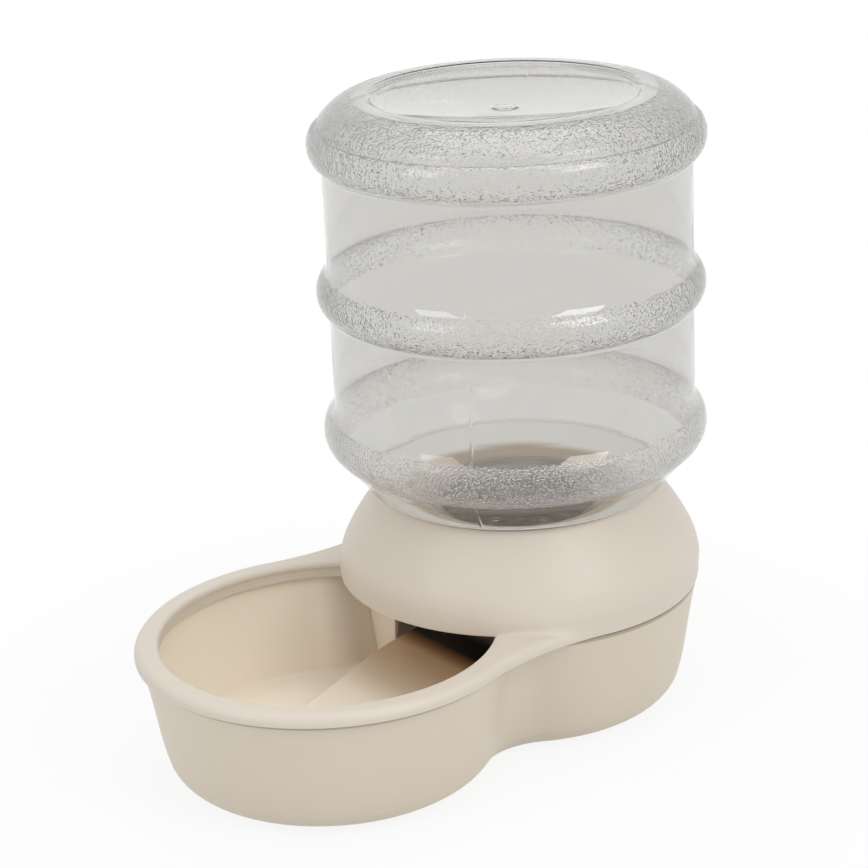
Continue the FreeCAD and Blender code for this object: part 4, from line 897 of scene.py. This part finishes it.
def tub_grid(b):
    """The tub's shell: a section of (inset, height) swept along the outline, closed on the
    middle line above and below.  A point lies at the outline less its normal times inset."""
    points, normals, middle = figure_eight(b.tub_bowl, b.tub_rear, b.tub_waist, b.span)
    inside = wall_and_round(b, b.wall, b.seam, floor_top(b), b.inner_curve)[::-1]
    outside = wall_and_round(b, 0, b.seam - b.seam_edge, b.foot, b.bottom_curve)
    fall = (b.seam - outside[:, 1]) / (b.seam - b.foot)
    outside[:, 0] -= b.belly * np.sin(math.pi * fall ** 2)
    ring = outside[-1, 0] + b.underside_ring
    underside = [(ring - MM, b.foot), (ring, b.foot + MM), (ring, b.foot + b.underside)]
    tongue_top = b.seam + b.tongue
    tongue_outer = b.wall - b.tongue_wall
    edge = b.seam_edge
    brim = arc((-edge, b.seam - edge), edge, 90, 0, 20) * (-1, 1)
    slant = edge * 0.6  # level reach of the slanting edges at the tongue's top
    tongue = [(b.wall, tongue_top - edge), (b.wall - slant, tongue_top),
              (tongue_outer + slant, tongue_top), (tongue_outer, tongue_top - edge),
              (tongue_outer, b.seam)]
    section = run(inside, tongue, brim, outside, underside)
    rows = points[None] - section[:, 0, None, None] * normals[None]
    grid = np.concatenate((rows, np.broadcast_to(section[:, 1, None, None], rows.shape[:2] + (1,))), axis=2)
    shares = np.linspace(1, 0, 9)[:-1, None, None]

    def closing(ring):
        """Level rings from the middle line out to a ring of the section."""
        flat = ring[None, :, :2] * (1 - shares) + middle[None] * shares
        return np.concatenate((flat, np.full(flat.shape[:2] + (1,), ring[0, 2])), axis=2)

    grid = np.concatenate((closing(grid[0]), grid, closing(grid[-1])[::-1]))
    grid[..., 1] += AXIS_Y
    return grid


def waist_half_width(b, along, inset):
    """Half width of the tub at a distance from the bottle's axis, on the hollow arc."""
    centre_x, centre_y = waist_centre(b.tub_bowl, b.tub_rear, b.tub_waist, b.span)
    return centre_x - math.sqrt((b.tub_waist + inset) ** 2 - (along - centre_y) ** 2)


def doorway_walls(b):
    """Upright walls left and right of the doorway, as prisms across the waist."""
    low, top = inside_floor(b), b.rim_top - b.skirt_drop - DOOR_GAP
    lean = math.tan(b.draft)
    widths = [waist_half_width(b, b.door_distance, b.wall / 2 + (b.seam - height) * lean)
              for height in (low, top)]
    front = AXIS_Y - b.door_distance - b.door_wall / 2
    walls = []
    for side in (-1, 1):
        outline = [(side * b.door_half, low), (side * widths[0], low),
                   (side * widths[1], top), (side * b.door_half, top)]
        wall = prism("doorway_wall", outline, front, front + b.door_wall, axis="y")
        walls.append(apply_bevel(wall, DOOR_EDGE))
    return walls


def ramp_outline(b, wall=0.0):
    """Side view (along, height) of the ramp's top, with its knee rounded, lowered by wall."""
    toe, knee, end = (AXIS_Y - value for value in (b.ramp_toe, b.ramp_knee, b.ramp_end))
    corner = np.array((knee, b.ramp_knee_top))
    before = np.array((toe, floor_top(b))) - corner
    after = np.array((end, b.ramp_end_top)) - corner
    t = np.linspace(0, 1, 9)[:, None]
    start = corner + before / np.linalg.norm(before) * b.ramp_bend
    finish = corner + after / np.linalg.norm(after) * b.ramp_bend
    bend = start * (1 - t) ** 2 + corner * 2 * t * (1 - t) + finish * t ** 2
    return run([(toe, floor_top(b))], bend, [(end, b.ramp_end_top)]) - (0, wall)


def ramp_solids(b):
    """The ramp, and the three hollows under it."""
    low = inside_floor(b)
    skin = ramp_outline(b)
    outline = run(skin, [(skin[-1, 0], low), (skin[0, 0], low)])
    ramp = apply_bevel(prism("ramp", outline, -b.ramp_half, b.ramp_half), b.ramp_edge, 3, 50)
    under = ramp_outline(b, b.ramp_wall)
    start, end = under[0, 0] + b.cell_start, under[-1, 0] - b.ramp_wall
    along = np.concatenate(([start], under[(under[:, 0] > start) & (under[:, 0] < end), 0], [end]))
    roof = np.column_stack((along, np.interp(along, under[:, 0], under[:, 1])))
    outline = run([(start, b.foot)], roof, [(end, b.foot)])
    first = b.ramp_half - b.ramp_wall - b.cell / 2
    cells = [prism("ramp_cell", outline, place - b.cell / 2, place + b.cell / 2)
             for place in (-first, 0, first)]
    return ramp, cells


def post_solids(b):
    """The post that opens the valve, and its fins."""
    gap = 0.3 * MM  # between the post and the valve's clip
    edge = 0.6 * MM
    low, top = inside_floor(b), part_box("valve_retainer")[0].z - gap
    turns = np.linspace(0, 2 * math.pi, 48, endpoint=False)
    section = run([(0, low), (b.post, low)], arc((b.post - edge, top - edge), edge, 0, 90, 30), [(0, top)])
    post = surface("post", turned(section, turns, (0, AXIS_Y)))
    fin_foot, fin_top = floor_top(b), top - b.fin_drop
    outline = [(-b.fin, low), (b.fin, low), (b.fin, fin_foot), (b.post, fin_top), (-b.post, fin_top),
               (-b.fin, fin_foot)]
    one = prism("fin", outline, AXIS_Y - b.fin_half, AXIS_Y + b.fin_half, axis="y")
    other = prism("fin", np.array(outline) + (AXIS_Y, 0), -b.fin_half, b.fin_half, axis="x")
    return [post, one, other]


def foot_solids(b):
    """Bosses under the floor at the feet, and the discs that cut the recesses into them."""
    turns = np.linspace(0, 2 * math.pi, 64, endpoint=False)

    def disc(name, centre, radius, low, top):
        """A round disc about an upright axis."""
        section = np.array(((0, low), (radius, low), (radius, top), (0, top)))
        return surface(name, turned(section, turns, (centre.x, centre.y)))

    bosses, cutters = [], []
    for node in FEET:
        low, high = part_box(node)
        centre = (low + high) / 2
        radius = (high.x - low.x) / 2 + FOOT_PLAY
        bosses.append(disc("boss", centre, radius + b.boss_wall, b.foot, inside_floor(b)))
        cutters.append(disc("recess", centre, radius, 0.0, b.foot + b.foot_recess))
    return bosses, cutters


def inside_share(b, points):
    """One on the tub's inside and nought on its outside: the distance from the outline, less
    the outside's own inset at that height, over part of the wall.  Nought as well under the
    floor and in the hollows under the ramp."""
    outline, _, _ = figure_eight(b.tub_bowl, b.tub_rear, b.tub_waist, b.span)
    outside = wall_and_round(b, 0, b.seam, b.foot, b.bottom_curve)[::-1]
    level = points[:, :2] - (0, AXIS_Y)
    at_a_time = 4000
    parts = np.array_split(level, max(1, len(level) // at_a_time))
    away = np.concatenate([np.sqrt(((part[:, None] - outline[None]) ** 2).sum(axis=2)).min(axis=1)
                           for part in parts])
    inset = away - np.interp(points[:, 2], outside[:, 1], outside[:, 0])
    skin = ramp_outline(b)
    roof = np.interp(points[:, 1], skin[:, 0], skin[:, 1], left=0, right=0) - b.ramp_wall / 2
    hollow = (np.abs(points[:, 0]) < b.ramp_half - MM) & (points[:, 2] < roof)
    start, width = 0.3, 0.4  # shares of the wall over which the inside begins
    depth = np.clip((inset / b.wall - start) / width, 0, 1)
    return depth * (points[:, 2] > inside_floor(b)) * ~hollow


def tub_material(looks, b):
    """Moulded plastic with painted light and shade: paler inside the bowl as painted light from the walls
    lighting each other, painted shade from brown to black on the ramp towards the doorway, where no light
    comes in, and painted shade close under the rim, where its overhang casts a shadow."""
    material = moulded_material("tub plastic", looks.tub, looks.satin)
    tree = material.node_tree
    effect = next(node for node in tree.nodes if node.type == "GROUP")
    inside = add_node(tree, "ShaderNodeAttribute", attribute_name="inside")
    place = add_node(tree, "ShaderNodeTexCoord")
    split = add_node(tree, "ShaderNodeSeparateXYZ")
    join(tree, place, "Object", split, "Vector")
    across, along, height = split.outputs
    # painted shade: the ramp darkens to black towards the doorway, inside the tub and between the doorway
    # walls only
    within = sums(tree, "LESS_THAN", sums(tree, "ABSOLUTE", across), b.door_half - DOOR_EDGE)
    before = mapped(tree, along, AXIS_Y - SHADE_FADE[0], AXIS_Y - SHADE_FADE[1], 1.0, 0.0, smooth=True)
    mask = sums(tree, "MULTIPLY", sums(tree, "MULTIPLY", inside.outputs["Fac"], within), before)
    behind = sums(tree, "SUBTRACT", along, AXIS_Y - looks.shade_start)
    depth = sums(tree, "DIVIDE", behind, looks.shade_start - looks.shade_end)
    painted_ramp_shade = add_node(tree, "ShaderNodeValToRGB")
    feed(tree, depth, painted_ramp_shade.inputs["Fac"])
    stops = painted_ramp_shade.color_ramp.elements
    stops[0].color = (*RAMP_SHADE_TONES[0][1], 1)
    stops[1].color = (*RAMP_SHADE_TONES[-1][1], 1)
    for position, tone in RAMP_SHADE_TONES[1:-1]:
        stops.new(position).color = (*tone, 1)
    # painted shade: the tub's wall darkens just under the seam, where the rim's overhang casts its shadow
    line = mapped(tree, height, b.seam - SEAM_SHADE_DEPTHS[0], b.seam - SEAM_SHADE_DEPTHS[1], 0.0, 1.0, smooth=True)
    outer = mixed(tree, "MIX", line, (*looks.tub, 1), (*looks.seam_painted_shade, 1))
    # painted light: paler inside the bowl, for the light the walls throw on each other
    base = mixed(tree, "MIX", inside.outputs["Fac"], outer, (*looks.bowl, 1))
    feed(tree, mixed(tree, "MULTIPLY", mask, base, painted_ramp_shade.outputs["Color"]), effect.inputs["Color"])
    return material


class WATERER_OT_tub(bpy.types.Operator):
    """Build the tub with its bowl, chamber, doorway walls, ramp and post"""
    bl_idname = "waterer.tub"
    bl_label = "Tub"

    def execute(self, context):
        sizes, looks = context.scene.waterer_base, context.scene.waterer_looks
        piece = surface("moulded_tub", tub_grid(sizes))
        ramp, cells = ramp_solids(sizes)
        bosses, cutters = foot_solids(sizes)
        combine(piece, doorway_walls(sizes) + [ramp] + post_solids(sizes) + bosses, "UNION")
        combine(piece, cells + cutters, "DIFFERENCE")
        inside = piece.data.attributes.new("inside", "FLOAT", "POINT")
        inside.data.foreach_set("value", inside_share(sizes, coordinates(piece.data)))
        dress(piece, tub_material(looks, sizes))
        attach(piece, "base")
        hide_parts("base_tub")
        return {"FINISHED"}


# Top frame

def polar_reach(points, centre, turns):
    """Distance from the centre to a closed outline in each direction, by interpolation."""
    away = points - centre
    angle = np.unwrap(np.arctan2(away[:, 1], away[:, 0]))
    reach = np.hypot(away[:, 0], away[:, 1])
    if angle[-1] < angle[0]:
        angle, reach = angle[::-1], reach[::-1]
    angle = np.concatenate((angle - 2 * math.pi, angle, angle + 2 * math.pi))
    reach = np.concatenate((reach, reach, reach))
    turns = (turns - angle[len(points)]) % (2 * math.pi) + angle[len(points)]
    return np.interp(turns, angle, reach)


def rim_grid(b):
    """The rim's plate as a ring about the bowl's centre.  In each direction the outer part
    follows the outline, drawn in along its normals, and the inner part the opening."""
    points, normals, _ = figure_eight(b.rim_bowl, b.rim_rear, b.rim_waist, b.span)
    tub_points, tub_normals, _ = figure_eight(b.tub_bowl, b.tub_rear, b.tub_waist, b.span)
    centre = np.array((0, -b.span))
    away = points - centre
    turns = np.arctan2(away[:, 1], away[:, 0])
    low, top = b.seam + b.seam_gap, b.rim_top
    tongue_room = b.wall - b.tongue_wall - b.tongue_gap
    ceiling = b.seam + b.tongue + TONGUE_PLAY
    skirt_low = b.rim_top - b.skirt_drop
    edge = b.seam_edge

    outer = run(arc((edge, low + edge), edge, -90, -180, 20),
                arc((b.rim_outer, top - b.rim_outer), b.rim_outer, 180, 90, 6))
    rows, heights = [], []
    for inset, height in outer:
        rows.append(polar_reach(points - inset * normals, centre, turns))
        heights.append(height)
    lip, nick = 0.4 * MM, 0.3 * MM
    opening, lip_radius = b.opening, b.opening - b.rim_step
    inner_edge = run(arc((lip_radius + b.rim_inner, top - b.rim_inner), b.rim_inner, 90, 180, 8),
                     arc((lip_radius + lip, top - b.rim_lip), lip, 180, 270, 30),
                     [(opening, top - b.rim_lip - lip)])
    skirt = [(opening, skirt_low + nick), (opening + nick, skirt_low),
             (opening + b.skirt_wall - nick, skirt_low), (opening + b.skirt_wall, skirt_low + nick),
             (opening + b.skirt_wall, ceiling)]
    for radius, height in run(inner_edge, skirt):
        rows.append(np.full(len(turns), radius))
        heights.append(height)
    room = polar_reach(tub_points - tongue_room * tub_normals, centre, turns)
    for height in (ceiling, low):
        rows.append(room)
        heights.append(height)
    reach = np.array(rows)
    grid = np.stack((reach * np.cos(turns), reach * np.sin(turns) - b.span + AXIS_Y,
                     np.broadcast_to(np.array(heights)[:, None], reach.shape)), axis=-1)
    return grid


def dome_section(b, lip):
    """Closed section of the dome with its lower edge at the given height: two arcs, the
    crest, the seat that dips to the hole, the collar, and the same arcs less the wall."""
    turn, end, seat = (math.degrees(value) for value in (b.dome_turn, b.dome_end, b.seat))
    side_centre = np.array((b.dome - b.dome_side, b.dome_height))
    top_centre = side_centre + way(turn) * (b.dome_side - b.dome_top)
    crest_centre = top_centre + way(end) * (b.dome_top - b.crest)
    crest_end = crest_centre + way(90 + seat) * b.crest
    seat_low = crest_end[1] - (crest_end[0] - b.hole) * math.tan(b.seat)
    half = (end + seat + 90) / 2
    corner = crest_centre - way(half) * (b.dome_wall - b.crest) / math.cos(math.radians(half - end))
    collar = b.hole + b.dome_wall
    under = corner[1] - (corner[0] - collar) * math.tan(b.seat)
    start = math.degrees(math.asin((lip + b.lip_edge - b.dome_height) / b.dome_side))
    inner_curve = b.dome_side - b.dome_wall
    nick = 0.3 * MM
    past_corner = 0.3  # degrees from the inside corner to the next point
    inside_lip = b.lip + 0.2 * MM
    inner_start = math.degrees(math.asin((inside_lip - b.dome_height) / inner_curve))
    inner_lip = side_centre[0] + inner_curve * math.cos(math.radians(inner_start))
    outer_lip = side_centre[0] + b.dome_side * math.cos(math.radians(start))
    low_edge = arc((outer_lip - b.lip_edge, lip + b.lip_edge), b.lip_edge, -90, -10, 20)
    rounding = 0.8 * MM
    hole_edge = arc((b.hole + rounding, seat_low - rounding), rounding, 100, 180, 20)
    return run(
        [(inner_lip, lip + nick), (inner_lip + nick, lip)], low_edge,
        arc(side_centre, b.dome_side, start, turn, step=1.6),
        arc(top_centre, b.dome_top, turn, end, step=0.6),
        arc(crest_centre, b.crest, end, 90 + seat, step=10),
        spaced(crest_end, (b.hole + 2 * rounding, seat_low + rounding * math.tan(b.seat)), 8),
        hole_edge,
        [(b.hole, seat_low - b.collar), (collar, seat_low - b.collar), (collar, under), corner],
        arc(top_centre, b.dome_top - b.dome_wall, end - past_corner, turn, step=0.8),
        arc(side_centre, inner_curve, turn, inner_start, step=3),
    )


def dome_grid(b):
    """The dome turned about the bottle's axis; its lower edge drops from the free lip over
    the bowl to the seam behind the waist."""
    turns = np.linspace(0, 2 * math.pi, DOME_TURNS, endpoint=False)
    seated = dome_section(b, b.seam + b.seam_gap)
    free = resampled_start(dome_section(b, b.lip), len(seated))
    behind = np.abs((turns - math.pi / 2 + math.pi) % (2 * math.pi) - math.pi)
    weight = 1 - smooth_step(behind, b.band_turn, b.band_turn + b.band_switch)
    section = free[:, None] * (1 - weight)[None, :, None] + seated[:, None] * weight[None, :, None]
    return np.stack((section[..., 0] * np.cos(turns), section[..., 0] * np.sin(turns) + AXIS_Y,
                     section[..., 1]), axis=-1)


def resampled_start(section, count):
    """The section with its start, up to the dome's side, spread anew over so many points that
    it has count points in all."""
    lengths = np.concatenate(([0], np.cumsum(np.linalg.norm(np.diff(section, axis=0), axis=1))))
    extra = count - len(section)
    head = 30  # steps that are spread anew
    wanted = np.linspace(0, lengths[head], head + extra + 1)
    start = np.column_stack([np.interp(wanted, lengths[:head + 1], section[:head + 1, k]) for k in (0, 1)])
    return np.vstack((start, section[head + 1:]))


def soften_crease(b, mesh):
    """Blend dome and rim: points near the line where they meet take the mean of their
    neighbours, again and again, weighted by how near they are."""
    points = coordinates(mesh)
    edges = np.empty(len(mesh.edges) * 2, dtype=int)
    mesh.edges.foreach_get("vertices", edges)
    edges = edges.reshape(-1, 2)
    x, y, z = points[:, 0], points[:, 1] - AXIS_Y, points[:, 2]
    from_axis = np.hypot(x, y)
    from_bowl = np.hypot(x, y + b.span)
    away = np.hypot(from_axis - b.dome, z - b.rim_top)
    weight = 1 - smooth_step(away, b.crease_core, b.crease)
    weight *= smooth_step(from_bowl, b.opening + RIM_KEPT[0], b.opening + RIM_KEPT[1])
    weight *= (from_axis > b.dome - MM) & (z > b.rim_top - 3 * MM)
    degree = np.bincount(edges.ravel(), minlength=len(points))[:, None]
    for _ in range(BLEND_ROUNDS):
        total = np.zeros_like(points)
        np.add.at(total, edges[:, 0], points[edges[:, 1]])
        np.add.at(total, edges[:, 1], points[edges[:, 0]])
        points += (total / degree - points) * weight[:, None] * BLEND_STEP
    mesh.vertices.foreach_set("co", points.ravel())
    mesh.update()


class WATERER_OT_top_frame(bpy.types.Operator):
    """Build the rim, skirt and dome as one moulding"""
    bl_idname = "waterer.top_frame"
    bl_label = "Top Frame"

    def execute(self, context):
        sizes, looks = context.scene.waterer_base, context.scene.waterer_looks
        piece = surface("moulded_top_frame", rim_grid(sizes), wrap_rows=True)
        turns = np.linspace(0, 2 * math.pi, DOME_TURNS, endpoint=False)
        radius = sizes.dome - sizes.dome_wall / 2
        past = 5 * MM  # how far the cut reaches past the skirt and the rim
        low, high = sizes.rim_top - sizes.skirt_drop - past, sizes.rim_top + past
        chamber = np.array(((0, low), (radius, low), (radius, high), (0, high)))
        combine(piece, [surface("chamber", turned(chamber, turns, (0, AXIS_Y)))], "DIFFERENCE")
        combine(piece, [surface("dome", dome_grid(sizes), wrap_rows=True)], "UNION")
        soften_crease(sizes, piece.data)
        shade(piece.data, 38)
        dress(piece, moulded_material("frame plastic", looks.top, looks.satin))
        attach(piece, "base")
        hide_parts("top_frame")
        return {"FINISHED"}


# Valve, cap and feet

def coil_grid(low, high, radius, wire, turns):
    """A wire along a helix: a circle of the wire's radius in the plane across the helix's
    direction, whose first and last turns lie flat."""
    t = np.linspace(0, 1, int(turns * 40))
    angle = t * turns * 2 * math.pi
    flat = 0.088  # share of the coil that lies flat at each end
    height = low + wire + (high - low - 2 * wire) * smooth_step(t, flat, 1 - flat)
    path = np.column_stack((radius * np.cos(angle), radius * np.sin(angle), height))
    ways = np.gradient(path, axis=0)
    ways /= np.linalg.norm(ways, axis=1)[:, None]
    out = np.column_stack((np.cos(angle), np.sin(angle), np.zeros(len(t))))
    up = np.cross(out, ways)
    around = np.linspace(0, 2 * math.pi, 12, endpoint=False)
    closed = np.concatenate(([0], np.ones(len(t) - 2), [0]))
    grid = path[:, None] + wire * closed[:, None, None] * (
        np.cos(around)[None, :, None] * out[:, None] + np.sin(around)[None, :, None] * up[:, None])
    grid[..., 1] += AXIS_Y
    return grid


class WATERER_OT_valve(bpy.types.Operator):
    """Dress the valve's stem, seal and clip, and wind its spring"""
    bl_idname = "waterer.valve"
    bl_label = "Valve"

    def execute(self, context):
        looks = context.scene.waterer_looks
        plastic = moulded_material("valve plastic", looks.valve, roughness=0.35, grain_scale=1400.0)
        rubber = moulded_material("seal rubber", looks.seal, roughness=0.7, drift=0.2, grain_depth=0.00004)
        for node in ("valve_stem", "valve_retainer"):
            dress(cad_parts[node], plastic)
        for node in ("valve_seal", "cap_gasket"):
            dress(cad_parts[node], rubber)
        low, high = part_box("valve_spring")
        wire = 0.4 * MM
        radius = (high.x - low.x) / 2 - wire
        coil = surface("coil_spring", coil_grid(low.z, high.z, radius, wire, turns=3.25))
        steel = moulded_material("spring wire", looks.wire, roughness=0.28, drift=0.1, Metallic=1.0)
        dress(coil, steel)
        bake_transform(coil)
        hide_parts("valve_spring")
        return {"FINISHED"}


class WATERER_OT_cap(bpy.types.Operator):
    """Dress the bottle's cap"""
    bl_idname = "waterer.cap"
    bl_label = "Cap"

    def execute(self, context):
        looks = context.scene.waterer_looks
        dress(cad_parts["bottle_cap"], moulded_material("cap plastic", looks.cap, roughness=0.38))
        return {"FINISHED"}


class WATERER_OT_feet(bpy.types.Operator):
    """Dress the four rubber feet"""
    bl_idname = "waterer.feet"
    bl_label = "Feet"

    def execute(self, context):
        looks = context.scene.waterer_looks
        rubber = moulded_material("foot rubber", looks.foot, roughness=0.75, drift=0.3, grain_depth=0.00006)
        for node in FEET:
            dress(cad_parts[node], rubber)
        return {"FINISHED"}


# Stage

def seen_white(tree, shader, white_share=1.0):
    """Mix a shader with plain white where the camera, a reflection or a clear wall looks,
    everywhere or by a share that varies from place to place."""
    light_path = add_node(tree, "ShaderNodeLightPath")
    looked_at = light_path.outputs["Is Camera Ray"]
    for ray in ("Is Glossy Ray", "Is Transmission Ray"):
        looked_at = sums(tree, "MAXIMUM", looked_at, light_path.outputs[ray])
    kind = "ShaderNodeBackground" if shader.type == "BACKGROUND" else "ShaderNodeEmission"
    white = add_node(tree, kind, Color=(1, 1, 1, 1), Strength=1.0)
    factor = sums(tree, "MULTIPLY", looked_at, white_share)
    return mixed_shader(tree, factor, shader.outputs[0], white.outputs[0])


def add_softbox(name, place, aim, power, width, height):
    """A rectangular lamp at a place, turned so that it faces the aim."""
    lamp = bpy.data.lights.new(name, "AREA")
    lamp.shape = "RECTANGLE"
    lamp.size, lamp.size_y = width, height
    lamp.energy = power
    holder = bpy.data.objects.new(name, lamp)
    holder.location = place
    holder.rotation_euler = (Vector(aim) - Vector(place)).to_track_quat("-Z", "Y").to_euler()
    bpy.context.scene.collection.objects.link(holder)


def build_floor(studio):
    """A wide pale floor that looks white away from the object."""
    half = 4.0
    grid = np.array((((-half, -half, 0), (half, -half, 0)), ((-half, half, 0), (half, half, 0))))
    sheet = surface("floor", grid, wrap_columns=False)
    material, tree = new_material("pale floor")
    matt = add_node(tree, "ShaderNodeBsdfDiffuse", Color=(0.86, 0.86, 0.86, 1))
    place = add_node(tree, "ShaderNodeTexCoord")
    away = add_node(tree, "ShaderNodeVectorMath", operation="LENGTH")
    feed(tree, place.outputs["Object"], away.inputs[0])
    fade = mapped(tree, away.outputs["Value"], studio.white_start, studio.white_end,
                  studio.white, 1.0, smooth=True)
    result = add_node(tree, "ShaderNodeOutputMaterial")
    feed(tree, seen_white(tree, matt, fade), result.inputs["Surface"])
    dress(sheet, material)


def build_world(studio):
    """Even light from all round, which looks white."""
    world = bpy.data.worlds.new("studio")
    world.use_nodes = True
    tree = world.node_tree
    tree.nodes.clear()
    even = add_node(tree, "ShaderNodeBackground", Color=(1, 1, 1, 1), Strength=studio.sky)
    result = add_node(tree, "ShaderNodeOutputWorld")
    feed(tree, seen_white(tree, even), result.inputs["Surface"])
    return world


def camera_turn(studio, forward, side):
    """The camera's axes as a matrix: it looks level back along forward, and is then turned
    by yaw, pitch and roll."""
    yaw, pitch, roll = studio.yaw, studio.pitch, studio.roll
    level = -(forward * math.cos(yaw) + side * math.sin(yaw))
    view = Vector((level[0] * math.cos(pitch), level[1] * math.cos(pitch), -math.sin(pitch)))
    right = view.cross(Vector((0, 0, 1))).normalized()
    up = right.cross(view)
    turned_right = right * math.cos(roll) + up * math.sin(roll)
    turned_up = up * math.cos(roll) - right * math.sin(roll)
    return Matrix((turned_right, turned_up, -view)).transposed().to_4x4()


class WATERER_OT_stage(bpy.types.Operator):
    """Set up the floor, the lights and the camera"""
    bl_idname = "waterer.stage"
    bl_label = "Stage"

    def execute(self, context):
        studio = context.scene.waterer_studio
        build_floor(studio)
        context.scene.world = build_world(studio)

        forward = np.array((math.cos(studio.turn), math.sin(studio.turn)))
        side = np.array((-forward[1], forward[0]))

        def spot(toward, right, height):
            """The place that lies so far towards the camera, to its right and up."""
            ground = forward * toward + side * right
            return ground[0], ground[1] + AXIS_Y, height

        aim = (0, 0, 0.12)
        for name, toward, right, up, width, deep in SOFTBOXES:
            add_softbox(f"{name}_light", spot(toward, right, up), aim, getattr(studio, name), width, deep)

        camera = bpy.data.cameras.new("camera")
        camera.lens = studio.lens
        camera.sensor_width = 36
        matrix = camera_turn(studio, forward, side)
        matrix.translation = spot(studio.distance, 0, studio.height)
        holder = bpy.data.objects.new("camera", camera)
        holder.matrix_world = matrix
        context.scene.collection.objects.link(holder)
        context.scene.camera = holder
        context.scene.view_settings.view_transform = "Standard"
        return {"FINISHED"}


class WATERER_PT_panel(bpy.types.Panel):
    """Buttons for each piece, in the sidebar"""
    bl_idname = "WATERER_PT_panel"
    bl_label = "Pet Waterer"
    bl_space_type = "VIEW_3D"
    bl_region_type = "UI"
    bl_category = "Waterer"

    def draw(self, context):
        for operator in OPERATORS:
            self.layout.operator(operator.bl_idname)
        for name in GROUPS:
            box = self.layout.box()
            settings = getattr(context.scene, name)
            for key in settings.__annotations__:
                box.prop(settings, key)


GROUPS = {"waterer_bottle": BottleSizes, "waterer_base": BaseSizes, "waterer_looks": Finishes,
          "waterer_studio": StudioSettings}
OPERATORS = (WATERER_OT_tub, WATERER_OT_top_frame, WATERER_OT_feet, WATERER_OT_cap, WATERER_OT_valve,
             WATERER_OT_bottle, WATERER_OT_stage)


def register():
    """Register the settings, operators and panel."""
    for item in (*GROUPS.values(), *OPERATORS, WATERER_PT_panel):
        bpy.utils.register_class(item)
    for name, group in GROUPS.items():
        setattr(bpy.types.Scene, name, bpy.props.PointerProperty(type=group))


def unregister():
    """Take them out again."""
    for name in GROUPS:
        delattr(bpy.types.Scene, name)
    for item in reversed((*GROUPS.values(), *OPERATORS, WATERER_PT_panel)):
        bpy.utils.unregister_class(item)


def main():
    """Build every piece and the stage."""
    register()
    for operator in OPERATORS:
        category, name = operator.bl_idname.split(".")
        getattr(getattr(bpy.ops, category), name)()
    bpy.context.view_layer.update()


if __name__ == "__main__":
    main()
